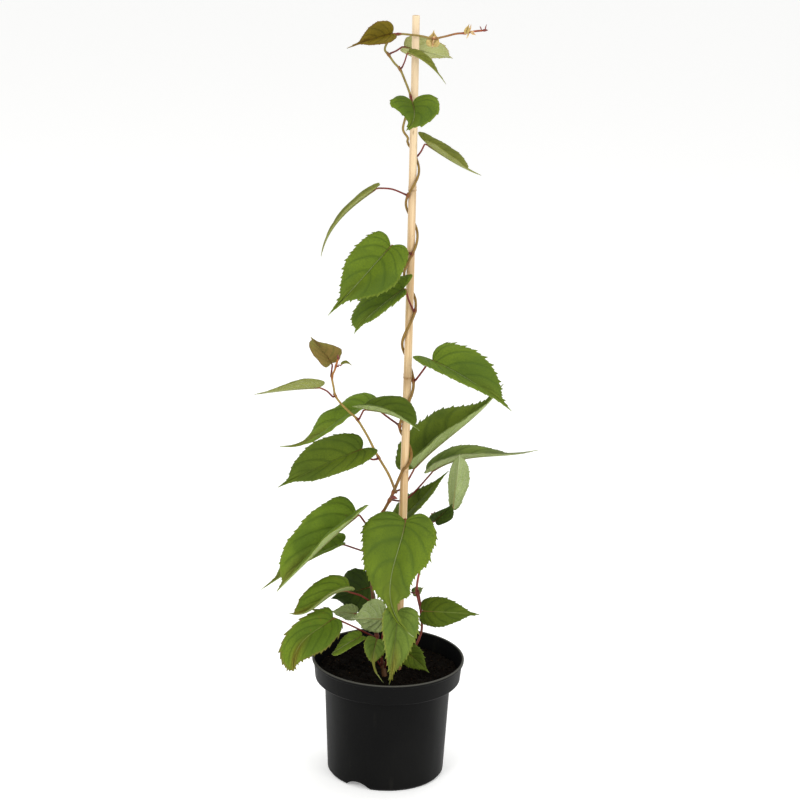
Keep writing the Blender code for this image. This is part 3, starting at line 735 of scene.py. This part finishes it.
leafTable = {
    "leaf_01_top_left": leafForm(
        (-6, -6, 828), (-13, -11, 829), (-59, -14, 813), 29, 33, (33, 33), "bronze", bow=(3, 3), drip=0.2,
        teeth=0.6, margin=((0, 4, 5, 0.07),)),
    "leaf_02_top_right": leafForm(
        (-16, -3, 806), (0, 12, 813), (51, 20, 801), 34, 215, (22, 7), "young", late=(0.1, 0.25),
        lobe=(0.5, 0.5)),
    "leaf_03_top_folded": leafForm(
        (-4, -6, 792), (6, -13, 810), (44, -22, 780), 18, -75, (25, 15), "olive", bow=(6, 5), drip=0.2),
    "leaf_04_upper_heart": leafForm(
        (8, -9, 764), (10, -18, 759), (4, -42, 734), 52, 10, (25, 20), "fresh", bow=(4, 2), sweep=(5, 9),
        late=(0.1, -0.12), lobe=(2, 3.8), teeth=0.8, margin=((1, 2, 1.5, -0.08), (1, 7, 1.5, 0.12))),
    "leaf_05_upper_right": leafForm(
        (19, 2, 702), (27, 0, 713), (84, -12, 684), 36, -78, (20, 34), "olive", bow=(-2, -4),
        late=(0.18, 0.1), lobe=(4, 1), drip=0.2, teeth=0.5),
    "leaf_06_upper_slim": leafForm(
        (5, 0, 662), (-26, -6, 666), (-82, -14, 593), 38, 86, (16, 6), "olive", bow=(9, 16), arch=(0, 0, 3),
        teeth=0.4),
    "leaf_07_left_heart": leafForm(
        (11, -9, 598), (-9, -16, 606), (-73, -34, 534), 62, 20, (24, 18), "fresh", bow=(5, 4), sweep=(1, 2),
        late=(-0.04, 0), drip=0.14, lobe=(1.5, 1), teeth=1.15,
        margin=((-1, 5, 2.5, -0.14), (1, 8, 2.5, 0.3), (1, 3, 1.5, 0.08))),
    "leaf_08_under_heart": leafForm(
        (18, -6, 535), (5, -20, 561), (-45, -22, 512), 50, 62, (14, 14), "fresh", sweep=(-4, -8),
        late=(0, 0.3), lobe=(1, 3.5), teeth=1.2, margin=((1, 5.5, 3.5, -0.38), (-1, 2.5, 1.8, -0.3))),
    "leaf_09_shoot_end": leafForm(
        (-68, -16, 462), (-69, -11, 476), (-92, -3, 502), 34, 35, (29, 20), "rosy", bow=(2, 2),
        late=(0.3, -0.15), lobe=(0, 1), drip=0.1, teeth=0.2, margin=((-1, 3.5, 1.8, -0.15),)),
    "leaf_10_right_heart": leafForm(
        (22, 0, 456), (39, -12, 482), (125, -30, 433), 62, -50, (15, 37), "fresh", bow=(8, 8),
        late=(0.12, -0.08), lobe=(0.5, 2.5), drip=0.1, teeth=1.4,
        margin=((1, 2, 1.6, -0.2), (1, 7, 2, 0.04), (-1, 2, 2, 0.45))),
    "leaf_11_left_long": leafForm(
        (6, 3, 407), (-26, 24, 420), (-124, 4, 376), 58, 80, (17, 13), "bright", bow=(10, -24),
        lobe=(1, 1.2), drip=0.12, teeth=0.3,
        margin=((-1, 6.3, 0.9, -0.22), (-1, 8, 1.0, 0.15), (1, 9, 2, 0.2)), wave=2.0),
    "leaf_12_over_cane": leafForm(
        (-40, -13, 414), (-31, -24, 429), (27, -34, 410), 46, -70, (23, 45), "dark", bow=(8, 8),
        late=(0.28, 0), lobe=(1, 3), drip=0.1, teeth=0.4, margin=((1, 2, 2.2, -0.6), (1, 6.5, 1.6, 0.1)),
        quilt=1.6),
    "leaf_13_left_thin": leafForm(
        (-64, -16, 441), (-81, -20, 451), (-150, -34, 445), 34, 90, (50, 22), "olive", bow=(2, 1), drip=0.1,
        teeth=0.25, margin=((0, 8.5, 2.2, -0.3),)),
    "leaf_14_left_wide": leafForm(
        (-16, -11, 371), (-34, -24, 384), (-123, -44, 345), 58, 45, (28, 10), "dark", bow=(4, 3),
        late=(0, 0.1), lobe=(2, 0.7), arch=(0, 0, -6), teeth=0.7,
        margin=((-1, 2.5, 2.0, -0.2), (0, 9.5, 1.2, 0.2))),
    "leaf_15_right_big": leafForm(
        (2, -9, 331), (23, 34, 345), (120, 66, 436), 72, -78, (34, 38), "dark", bow=(4, -12),
        late=(-0.12, 0), lobe=(1.3, 0), arch=(0, 9, -11), teeth=1.3,
        margin=((1, 9, 1.8, 0.5), (-1, 10, 2.0, -0.5), (-1, 5, 0.8, -0.12))),
    "leaf_16_right_long": leafForm(
        (-3, -9, 322), (44, 60, 334), (160, 50, 365), 46, -90, (26, 30), "netted", bow=(18, -4),
        lobe=(0.9, 0.9), drip=0.2, arch=(-4, 8, -18), teeth=0.6, margin=((0, 2.5, 1.8, -0.1),), quilt=1.6),
    "leaf_17_pale_upright": leafForm(
        (45, 13, 300), (67, 8, 307), (73, 24, 366), 30, 165, (5, 37), "silver", late=(0.25, 0.25),
        lobe=(0, 0), drip=0.04, teeth=1.1, margin=((0, 1.8, 3.0, -0.84),)),
    "leaf_18_dark_small": leafForm(
        (42, 13, 288), (48, 4, 295), (66, -4, 318), 24, -10, (45, 5), "deepShade", late=(-0.1, 0.25), teeth=0.3,
        margin=((-1, 3.5, 2.0, -0.3),)),
    "leaf_19_behind_cane": leafForm(
        (-10, -9, 307), (11, 34, 286), (62, 38, 342), 46, -75, (13, 12), "dark", late=(-0.15, 0.1),
        lobe=(3.2, 1.5), teeth=1.2),
    "leaf_20_front_heart": leafForm(
        (-17, -9, 290), (15, -32, 306), (27, -58, 182), 84, 12, (12, 8), "fresh", bow=(6, 6),
        sweep=(-9, -44), late=(-0.05, -0.1), lobe=(1.5, 1), drip=0.2, quilt=1.3, teeth=1.35,
        margin=((1, 8, 1.0, -0.15), (1, 6, 0.9, -0.1), (0, 10.2, 0.9, 0.9),
                (-1, 10.1, 0.8, -0.66), (-1, 8.6, 1.0, 0.12))),
    "leaf_21_left_big": leafForm(
        (-19, -9, 286), (-38, -18, 306), (-123, -44, 225), 80, 60, (47, 30), "bright", bow=(4, 2),
        late=(0, 0.2), lobe=(2, 0.6), teeth=0.75, margin=((-1, 6.5, 2.0, -0.13), (-1, 2.5, 1.5, -0.08))),
    "leaf_22_left_behind": leafForm(
        (-22, -9, 260), (-55, 2, 265), (-143, 8, 207), 42, 78, (26, 20), "bright", bow=(5, 3), drip=0.1,
        teeth=0.8, margin=((0, 9.5, 1.5, 0.8),)),
    "leaf_23_low_left": leafForm(
        (-18, -11, 205), (-46, -24, 221), (-109, -48, 202), 44, 70, (45, 28), "worn", bow=(16, -24),
        late=(0.1, 0.28), lobe=(1, 0.6), teeth=0.5, margin=((1, 2.0, 1.8, -0.5), (-1, 9, 1.6, -0.15))),
    "leaf_24_dark_behind": leafForm(
        (-17, -11, 200), (-22, 12, 212), (-66, 30, 190), 50, 20, (10, 10), "deepShade", bow=(3, 2), teeth=0.4),
    "leaf_25_low_front_left": leafForm(
        (-12, -15, 165), (-62, -28, 189), (-102, -72, 144), 48, 8, (18, 5), "worn", bow=(4, 4),
        sweep=(-6, -24), late=(0.2, 0.35), drip=0.04, quilt=1.3, teeth=1.5,
        margin=((-1, 5, 3.5, -0.2), (1, 2.5, 1.8, -0.3), (1, 7, 1.0, -0.1),
                (-1, 9.8, 1.6, -0.35), (1, 10, 1.4, -0.2))),
    "leaf_26_crumpled": leafForm(
        (-14, -14, 171), (-37, 2, 184), (-67, 6, 184), 20, 190, (20, 20), "silver", bow=(1, 1), quilt=4.0,
        wave=5.0, teeth=1.0),
    "leaf_27_pleated": leafForm(
        (-8, -18, 142), (-6, -30, 191), (-42, -36, 193), 44, 185, (30, 30), "silver", bow=(2, 2), quilt=4.6,
        wave=2.2, teeth=0.7),
    "leaf_28_low_front": leafForm(
        (-5, -21, 130), (9, -34, 202), (2, -60, 126), 50, -26, (26, 26), "yellowing", bow=(3, 3), quilt=1.4,
        teeth=1.7, margin=((0, 3, 1.2, 0.1), (-1, 4.5, 1.2, 0.08), (0, 7.5, 2.0, -0.12))),
    "leaf_29_low_curled": leafForm(
        (-6, -20, 134), (-13, -26, 165), (-4, -52, 125), 26, -20, (15, 15), "yellowing", bow=(3, 1),
        sweep=(-8, -14), lobe=(0.5, 0.5), drip=0.4),
    "leaf_30_low_right": leafForm(
        (26, 11, 130), (19, -14, 148), (46, -28, 128), 25, -20, (10, 10), "dark", bow=(2, 2), teeth=1.5),
    "leaf_31_in_pot_left": leafForm(
        (-6, -20, 133), (-30, -26, 168), (-62, -42, 153), 20, 48, (28, 10), "fresh", bow=(3, 2),
        late=(0.35, 0), drip=0.03),
    "leaf_32_low_right_long": leafForm(
        (30, 14, 209), (38, 2, 189), (100, -14, 193), 34, -33, (-5, -5), "dark", bow=(2, 2)),
    "leaf_33_small_behind": leafForm(
        (29, 15, 205), (26, 22, 203), (38, 26, 208), 12, 10, (8, 8), "silver", bow=(1, 1)),
    "leaf_34_young_top": leafForm(
        (30, -9, 825), (29, -4, 817), (30, -4, 833), 15, 0, (25, 25), "cream", teeth=0.2),
    "leaf_35_young_tip": leafForm(
        (62, -6, 831), (63, -10, 832), (66, -11, 841), 6, 0, (25, 25), "cream", teeth=0.2),
    "leaf_36_young_shoot": leafForm(
        (-63, -15, 474), (-58, -17, 477), (-47, -19, 476), 6, -75, (20, 20), "olive", bow=(3, 3)),
}
bladeSet = {
    "thickness": 0.45, "columns": 13, "lobeSteps": 8, "toothFrom": 1.9, "toothUntil": 11.5, "ragged": 0.05,
    "toothDepth": 3.0, "toothSpacing": 4.6, "smallSpacing": 2.8,
    # a tooth: how far along it, how far out, how far ahead
    "toothShape": ((0.0, 0.0, 0.0), (0.42, 0.34, 0.15), (0.76, 0.76, 0.45), (0.92, 1.0, 0.7)),
    "slimBelow": 30, "fullTeeth": 55, "fullColumns": 36, "camber": 0.045, "quilt": 0.022, "wave": 0.026,
    "rowShare": 0.125, "nearTip": 11.85, "stalkRadius": 1.1, "stalkStep": 2.0, "stalkSides": 10,
}
# Half an outline: along the midrib, out from it, and the foot of its side vein
leafOutline = (
    (0.00, 0.00, 0.00), (-0.055, 0.10, 0.00), (-0.075, 0.22, 0.00), (-0.045, 0.34, 0.00),
    (0.04, 0.43, 0.02), (0.15, 0.485, 0.06), (0.29, 0.50, 0.14), (0.44, 0.455, 0.26),
    (0.58, 0.365, 0.40), (0.71, 0.25, 0.55), (0.82, 0.14, 0.70), (0.915, 0.055, 0.85), (1.00, 0.00, 1.00),
)


class Blade:
    def __init__(self, leaf):
        base, tip = inMetres([leaf["base"], leaf["tip"]])
        self.leaf = leaf
        self.length = (tip - base).length
        self.width = leaf["width"] * mm
        axis = (tip - base).normalized()
        front = squareTo(axis, Vector((0, -1, 0)))
        side = front.cross(axis)
        turn = math.radians(leaf["turn"])
        self.side = side * math.cos(turn) + front * math.sin(turn)
        face = front * math.cos(turn) - side * math.sin(turn)
        bow, sweep = leaf["bow"], leaf["sweep"]
        self.spine = (
            base,
            base.lerp(tip, 1 / 3) + (face * bow[0] + self.side * sweep[0]) * mm,
            base.lerp(tip, 2 / 3) + (face * bow[1] + self.side * sweep[1]) * mm,
            tip,
        )
        self.fold = [math.radians(value) for value in leaf["fold"]]
        self.halves = [self.halfOutline(which) for which in (0, 1)]
        self.frames = [self.exactFrame(i / 100 - 0.5) for i in range(151)]

    def halfOutline(self, which):
        lobe, late = self.leaf["lobe"][which], self.leaf["late"][which]
        keep = 1 - self.leaf["drip"]
        rows = []
        for along, out, foot in leafOutline[:-1]:
            shaped = along * lobe if along < 0 else along + late * 4 * along * (1 - along)
            rows.append(Vector((shaped * keep, out, foot * keep)))
        return rows + [Vector(leafOutline[-1])]

    def outlineAt(self, half, row):
        rows = self.halves[0 if half > 0 else 1]
        i = min(int(row), len(rows) - 2)
        along, out, foot = throughPoints(
            rows[max(i - 1, 0)], rows[i], rows[i + 1], rows[min(i + 2, len(rows) - 1)], row - i)
        gain = bladeSet["ragged"] * noise.noise(Vector((row * 0.9, half * 2.7, self.leaf["number"] * 5.1)))
        for side, centre, reach, change in self.leaf["margin"]:
            if side in (half, 0):
                gain += change * bell(row - centre, reach)
        return along, out * (1 + gain), foot

    def spineAt(self, t):
        a, b, c, d = self.spine
        s = 1 - t
        return a * s ** 3 + b * (3 * s * s * t) + c * (3 * s * t * t) + d * t ** 3

    def exactFrame(self, along):
        t = min(max(along, 0.0), 1.0)
        ahead = (self.spineAt(min(t + 0.01, 1.0)) - self.spineAt(max(t - 0.01, 0.0))).normalized()
        side = squareTo(ahead, self.side)
        return self.spineAt(t) + ahead * (along - t) * self.length, side, ahead.cross(side)

    def frame(self, along):
        place = min(max((along + 0.5) * 100, 0.0), 149.999)
        low, share = self.frames[int(place)], place - int(place)
        high = self.frames[int(place) + 1]
        return tuple(first.lerp(second, share) for first, second in zip(low, high))

    def point(self, half, row, share, toothOut=0.0, toothAhead=0.0):
        along, out, foot = self.outlineAt(half, row)
        along = foot + (along - foot) * share ** veinSet["forward"] + toothAhead / self.length
        centre, side, face = self.frame(along)
        reach = max(out, 0.0) * self.width * share + toothOut
        fold = self.fold[0 if half > 0 else 1]
        outward = side * (half * math.cos(fold)) + face * math.sin(fold)
        normal = face * math.cos(fold) - side * (half * math.sin(fold))
        return centre + outward * reach + normal * self.lift(half, row, share, reach), along, reach

    def lift(self, half, row, share, reach):
        phase = (row - veinSet["bend"] * share ** 2) * veinSet["perRow"] % 1
        between = abs(math.sin(math.pi * phase)) ** 0.8 - 0.5
        quilt = bladeSet["quilt"] * self.leaf["quilt"] * between * share ** 0.9 * (1 - share ** 4)
        rows = veinSet["rows"]
        body = math.sin(math.pi * min(max(row, 0.0), rows) / rows) ** 0.5
        camber = bladeSet["camber"] * 6.75 * share ** 2 * (1 - share) * body
        drift = noise.noise(Vector((row * 0.55, half * 3.1, self.leaf["number"] * 7.7)))
        ripple = noise.noise(Vector((row * 1.6, half * 5.3, self.leaf["number"] * 3.3)))
        wave = bladeSet["wave"] * self.leaf["wave"] * (drift + 0.5 * ripple) * share ** 2 * body
        groove = -0.1 * mm * bell(reach, mm)
        return (quilt + camber + wave) * self.width + groove


def marginSteps(leaf, length, seeded):  # (row, tooth out, tooth ahead) down one margin
    start, stop, lobeSteps = bladeSet["toothFrom"], bladeSet["toothUntil"], bladeSet["lobeSteps"]
    steps = [(start * i / lobeSteps, 0.0, 0.0) for i in range(lobeSteps)]
    spacing = bladeSet["toothSpacing" if leaf["width"] > bladeSet["slimBelow"] else "smallSpacing"]
    span = stop - start
    count = max(4, round(span * bladeSet["rowShare"] * length / (spacing * mm)))
    depth = bladeSet["toothDepth"] * mm * min(1.0, leaf["width"] / bladeSet["fullTeeth"]) * leaf["teeth"]
    for tooth in range(count):
        share = tooth / count
        size = depth * (0.6 + 0.6 * seeded.random()) * (1 - 0.5 * share) * easeBetween(share, -0.25, 0.2)
        size *= 0.38 if tooth % 2 else 1.0
        for phase, out, ahead in bladeSet["toothShape"]:
            steps.append((start + span * (tooth + phase) / count, size * out, size * ahead))
    return steps + [(row, 0.0, 0.0) for row in (stop, bladeSet["nearTip"], veinSet["rows"])]


def stalkPoints(leaf, blade):
    node, tangent, radius = stemPlaceOf(leaf)
    centre, _, face = blade.frame(0)
    ahead = (blade.frame(0.02)[0] - centre).normalized()
    middle = node.lerp(centre, 0.5) + Vector(leaf["arch"]) * mm
    outward = squareTo(tangent, middle - node)
    lead = node + outward * (radius + 1.8 * mm)
    near = centre - ahead * 2.5 * mm - face * 1.5 * mm
    under = centre - face * 0.5 * mm
    return smoothRoute([node + outward * radius * 0.4, lead, middle, near, under], bladeSet["stalkStep"] * mm)


def bladeSheet(leaf, blade):
    work = bmesh.new()
    veinMap, flatMap = uvMaps(work)
    columns = bladeSet["columns"]
    if leaf["width"] <= bladeSet["slimBelow"]:
        columns = max(5, columns * leaf["width"] // bladeSet["fullColumns"])
    seeded = random.Random(leaf["number"])
    for half in (1, -1):
        grid = []
        for row, toothOut, toothAhead in marginSteps(leaf, blade.length, seeded):
            line = []
            for column in range(columns + 1):
                share = column / columns
                tooth = (toothOut, toothAhead) if column == columns else (0.0, 0.0)
                point, along, reach = blade.point(half, row, share, *tooth)
                flat = (along * blade.length * 100, half * reach * 100)
                vein = ((row - veinSet["bend"] * share ** 2) / veinSet["rows"], 0.5 + 0.5 * half * share)
                line.append((work.verts.new(point), vein, flat))
            grid.append(line)
        for low, high in zip(grid, grid[1:]):
            for k in range(columns):
                corners = (low[k], high[k], high[k + 1], low[k + 1])
                corners = corners if half > 0 else corners[::-1]
                face = work.faces.new([corner[0] for corner in corners])
                face.smooth = True
                for loop, corner in zip(face.loops, corners):
                    loop[veinMap].uv = corner[1]
                    loop[flatMap].uv = corner[2]
    bmesh.ops.remove_doubles(work, verts=work.verts, dist=0.02 * mm)
    bmesh.ops.dissolve_degenerate(work, dist=0.01 * mm, edges=work.edges)
    return work


def thickened(work, thickness):
    data = bpy.data.meshes.new("sheet")
    work.to_mesh(data)
    work.free()
    for _ in range(2):
        data.materials.append(None)
    sheet = addObject("sheet", data)
    shell = sheet.modifiers.new("thickness", "SOLIDIFY")
    shell.thickness = thickness
    shell.offset = 0
    shell.material_offset = 1
    shell.material_offset_rim = 1
    made = bmesh.new()
    made.from_mesh(settledMesh(sheet))
    return made


def makeLeaf(name, leaf):
    blade = Blade(leaf)
    work = thickened(bladeSheet(leaf, blade), bladeSet["thickness"] * mm)
    slim = bladeSet["stalkRadius"] * mm * min(1.0, 0.6 + leaf["width"] / 150)
    stalk = stalkPoints(leaf, blade)
    total = len(stalk) - 1
    radii = [slim * (1 + 0.5 * math.exp(-i * bladeSet["stalkStep"] / 2.2)) for i in range(total + 1)]
    marks = [(0.5 * i / total, 0.5) for i in range(total + 1)]
    ribSteps = max(6, round(blade.length / (3 * mm)))
    for i in range(1, ribSteps + 1):
        share = i / ribSteps
        centre, _, face = blade.frame(share * 0.95)
        radius = slim * (0.7 * (1 - share) + 0.12)
        stalk.append(centre - face * (0.25 * mm + radius * 0.9))
        radii.append(radius)
        marks.append((0.5 + 0.5 * share, 0.5))
    addTube(work, stalk, radii, bladeSet["stalkSides"], 2, marks)
    stalkPaint = finishPaleBud if leaf["look"] == "cream" else finishStalk
    finishes = [finishTop[leaf["look"]], finishUnder[leaf["look"]], stalkPaint]
    return makePiece(name.replace("leaf_", "vine_leaf_"), work, finishes, [name])


nodePlaces = []
for number, (name, leaf) in enumerate(leafTable.items(), 1):
    leaf["number"] = number
    makeLeaf(name, leaf)
    nodePlaces.append((stemPlaceOf(leaf), leaf))
print("leaves are ready:", len(leafTable))


# Stems, with a swelling and a bud at each leaf's node

def nearestNode(point):
    return min((point - place[0]).length for place, _ in nodePlaces) / mm


def makeStem(name, route, low, high, finish):
    points = smoothRoute(route, stemSet["step"] * mm)
    nearness = [nearestNode(point) for point in points]
    radii, marks = [], []
    for i, (radius, away) in enumerate(zip(taper(len(points), low, high), nearness)):
        swell = 1 + stemSet["swell"] * bell(away, stemSet["swellReach"])
        knobbly = 1 + stemSet["knobs"] * noise.noise(points[i] * stemSet["knobScale"])
        radii.append(radius * swell * knobbly)
        marks.append((i / (len(points) - 1), bell(away, stemSet["redReach"])))
    work = bmesh.new()
    addTube(work, points, radii, stemSet["sides"], 0, marks)
    for (place, tangent, radius), leaf in nodePlaces:
        away = min((place - point).length for point in points)
        if away < stemSet["step"] * mm and leaf["width"] > stemSet["budFrom"]:
            outward = squareTo(tangent, Vector(leaf["base"]) * mm - place)
            base = place + outward * radius * 0.8 + tangent * 1.6 * mm
            addBud(work, base, base + outward * 0.9 * mm + tangent * 1.7 * mm, 1.5 * mm, 1)
    if name == "main_stem":
        addStemEnds(work)
    if name == "side_shoot":
        addShootEnd(work)
    finishes = [finish, finishBud, finishPaleBud]
    return makePiece("vine_" + name, work, finishes, [name])


def addStemEnds(work):  # the old wood at the soil, the knob at the fork and the buds of the loose end
    wood = smoothRoute(inMetres([(-2, -24, 110), (-3, -23, 119), (-5, -21, 130), (-6, -20, 136)]),
                       stemSet["step"] * mm)
    addTube(work, wood, taper(len(wood), 3.2 * mm, 2.6 * mm), 14, 0, [(0.02, 0.0)] * len(wood))
    for base, tip, width, slotNumber, flat, bend in (
        ((-2, -10, 326), (6, -13, 325), 5.0, 1, 0.8, (0, 0, 0.6)),
        ((80, -6, 834), (86, -6, 834.5), 3.4, 1, 0.8, (0, 0, 0.4)),
        ((83, -6, 835), (84.5, -6, 841), 2.0, 1, 0.6, (-0.8, 0, 0)),
        ((79, -6, 835), (77, -7, 839), 1.8, 1, 0.6, (0, 0, 0)),
        ((66, -6, 832), (68, -8, 840.5), 3.6, 2, 0.5, (0.9, 0, 0)),
        ((66, -6, 831), (63.5, -8, 825.5), 3.2, 2, 0.5, (0.8, 0, 0)),
        ((67, -6, 832), (72, -8, 832.5), 3.6, 2, 0.5, (0, 0, 0.8)),
        ((68, -6, 832), (73.5, -8, 829.5), 3.2, 2, 0.5, (0, 0, -0.6)),
        ((30, -9, 825), (31, -10, 827.5), 3.0, 2, 1.0, (0, 0, 0)),
    ):
        addBud(work, *inMetres([base, tip]), width * mm, slotNumber, flat, bend)


def addShootEnd(work):
    for base, tip, width, bend in (
        ((-62, -15, 481), (-62.5, -16, 487), 3.0, (0.4, 0, 0)),
        ((-62, -15, 481), (-60, -16, 484), 2.0, (0, 0, 0)),
    ):
        addBud(work, *inMetres([base, tip]), width * mm, 1, 0.8, bend)


for name, (route, low, high, finish) in stemRoutes.items():
    makeStem(name, route, low, high, finish)
print("stems are ready")


# Pot

potSet = {
    "height": 135, "rimRadius": 85, "bandRadius": 81, "bandHeight": 25, "shoulderRadius": 70.3,
    "baseRadius": 65.2, "wall": 2, "channel": 5.5, "sides": 192, "round": 0.45,
    "notchAngles": (-118, 2, 122), "notchHeight": 7.5, "notchWidth": 31,
    "drainRadius": 4.5, "drainCircle": 53, "cutDepth": 20, "sharpAngle": 38,
}


def potProfile():
    p = potSet
    bandLow = p["height"] - p["bandHeight"]
    floor = p["channel"] + p["wall"]
    base, shoulder, band, rim = (p[name + "Radius"] for name in ("base", "shoulder", "band", "rim"))
    top = p["height"]
    return [
        (0, p["wall"]), (42, p["wall"]), (45, floor), (base - p["wall"], floor),
        (shoulder - p["wall"], bandLow - p["wall"]), (band - 3.5, bandLow + 1.5),
        (band - p["wall"], bandLow + 4),
        (rim - 2.2, top), (rim - 0.6, top), (rim, top - 0.8), (rim - 0.2, top - 3.2), (band + 1.9, top - 4.6),
        (band, bandLow + 1.6), (band - 1.4, bandLow), (shoulder, bandLow - 1.6), (base, 3),
        (base - 2.4, 0), (base - 4.4, 0), (base - 5, p["channel"]), (46, p["channel"]), (43, 0), (0, 0),
    ]


def roundedProfile(points, reach):  # each corner becomes a short arc
    found = [Vector(points[0])]
    for before, corner, after in zip(points, points[1:], points[2:]):
        before, corner, after = Vector(before), Vector(corner), Vector(after)
        back = min(reach, (before - corner).length * 0.4)
        on = min(reach, (after - corner).length * 0.4)
        start = corner + (before - corner).normalized() * back
        end = corner + (after - corner).normalized() * on
        for t in (0.0, 0.33, 0.67, 1.0):
            found.append(arcPoint(start, corner, end, t))
    return found + [Vector(points[-1])]


def makePot():
    profile = roundedProfile(potProfile(), potSet["round"])
    data = bpy.data.meshes.new("potTurned")
    edges = [(i, i + 1) for i in range(len(profile) - 1)]
    data.from_pydata([(r * mm, 0, z * mm) for r, z in profile], edges, [])
    turned = addObject("potTurned", data)
    screw = turned.modifiers.new("turn", "SCREW")
    screw.angle = 2 * math.pi
    screw.steps = screw.render_steps = potSet["sides"]
    screw.use_merge_vertices = True
    screw.merge_threshold = 0.00001
    screw.use_smooth_shade = True
    height, width = potSet["notchHeight"], potSet["notchWidth"]
    radius = (width ** 2 / 4 + height ** 2) / (2 * height)
    cutters = []
    for angle in potSet["notchAngles"]:
        heading = Matrix.Rotation(math.radians(angle), 4, "Z")
        out = Matrix.Translation((potSet["baseRadius"] * mm, 0, (height - radius) * mm))
        drill = Matrix.Translation((potSet["drainCircle"] * mm, 0, (potSet["channel"] + potSet["wall"]) * mm))
        for place, size, sides in (
            (heading @ out @ Matrix.Rotation(math.pi / 2, 4, "Y"), radius, 96),
            (heading @ drill, potSet["drainRadius"], 32),
        ):
            bpy.ops.mesh.primitive_cylinder_add(
                vertices=sides, radius=size * mm, depth=potSet["cutDepth"] * mm)
            cutter = bpy.context.object
            cutter.matrix_world = place
            cutters.append(cutter)
            cut = turned.modifiers.new("cut", "BOOLEAN")
            cut.object = cutter
    solid = settledMesh(turned, *cutters)
    solid.set_sharp_from_angle(angle=math.radians(potSet["sharpAngle"]))
    work = bmesh.new()
    work.from_mesh(solid)
    return makePiece("nursery_pot", work, [finishPot], ["pot"])


makePot()
print("pot is ready")


# Soil

soilSet = {
    "level": 118, "mound": 3, "radius": 78.6, "lump": 1.3, "rings": 64, "spokes": 180, "rough": 1.5,
    "crumbs": 900, "crumbSize": (0.7, 2.6), "crumbReach": 77, "fibres": 46, "fibreReach": 74, "seed": 5,
}


def soilHeight(x, y):
    reach = math.hypot(x, y)
    lumps = math.sin(x * 173 + 1.3) * math.cos(y * 211 + 0.4) + 0.6 * math.sin((x + y) * 397)
    rough = noise.fractal(Vector((x, y, 0)) * 260, 0.9, 2.1, 5)
    mound = soilSet["mound"] * math.cos(min(reach / (soilSet["radius"] * mm), 1.0) * math.pi / 2)
    return (soilSet["level"] + mound + soilSet["lump"] * lumps + soilSet["rough"] * rough - 0.6) * mm


def soilRing(work, reach, height=None):
    found = []
    for x, y in circle(soilSet["spokes"]):
        x, y = x * reach, y * reach
        found.append(work.verts.new((x, y, soilHeight(x, y) if height is None else height)))
    return found


def makeSoil():
    work = bmesh.new()
    p, count = potSet, soilSet["rings"]
    rings = [soilRing(work, soilSet["radius"] * mm * (i / count) ** 0.8) for i in range(1, count + 1)]
    bandLow = p["height"] - p["bandHeight"]
    low = p["channel"] + p["wall"] + 0.9
    for radius, height in (
        (78.2, bandLow + 4.4), (76.5, bandLow + 2.4), (p["shoulderRadius"] - 2.4, bandLow - 1.4),
        (p["baseRadius"] - 2.8, low + 3), (p["baseRadius"] - 5, low),
    ):
        rings.append(soilRing(work, radius * mm, height * mm))
    middle = work.verts.new((0, 0, soilHeight(0, 0)))
    for k in range(soilSet["spokes"]):
        n = (k + 1) % soilSet["spokes"]
        work.faces.new((middle, rings[0][k], rings[0][n]))
        for inner, outer in zip(rings, rings[1:]):
            work.faces.new((inner[k], outer[k], outer[n], inner[n]))
    work.faces.new(rings[-1][::-1])
    for face in work.faces:
        face.smooth = True
    return makePiece("potting_soil", work, [finishSoil], ["soil"])


def somewhere(seeded, reach):
    angle, away = seeded.uniform(0, 2 * math.pi), reach * mm * math.sqrt(seeded.random())
    return math.cos(angle) * away, math.sin(angle) * away


def makeCrumbs():
    seeded = random.Random(soilSet["seed"])
    work = bmesh.new()
    for _ in range(soilSet["crumbs"]):
        x, y = somewhere(seeded, soilSet["crumbReach"])
        size = seeded.uniform(*soilSet["crumbSize"]) * mm * (0.6 + 0.4 * seeded.random())
        place = Matrix.Translation((x, y, soilHeight(x, y) + size * 0.1))
        turn = Matrix.Rotation(seeded.uniform(0, 6), 4, (seeded.random(), seeded.random(), 0.5))
        shape = Matrix.Diagonal((1.0, seeded.uniform(0.5, 0.9), seeded.uniform(0.4, 0.8), 1.0))
        made = bmesh.ops.create_icosphere(work, subdivisions=1, radius=size, matrix=place @ turn @ shape)
        for vert in made["verts"]:
            vert.co += Vector([seeded.uniform(-0.2, 0.2) * size for _ in range(3)])
    for _ in range(soilSet["fibres"]):
        x, y = somewhere(seeded, soilSet["fibreReach"])
        heading, length = seeded.uniform(0, 2 * math.pi), seeded.uniform(4, 10) * mm
        step = Vector((math.cos(heading), math.sin(heading), 0)) * length / 3
        points = []
        for i in range(4):
            spot = Vector((x, y, 0)) + step * (i - 1.5)
            points.append(Vector((spot.x, spot.y, soilHeight(spot.x, spot.y) + 0.4 * mm)))
        addTube(work, points, [0.25 * mm, 0.45 * mm, 0.4 * mm, 0.15 * mm], 5)
    return makePiece("peat_crumbs", work, [finishCrumb])


makeSoil()
makeCrumbs()
print("soil is ready")
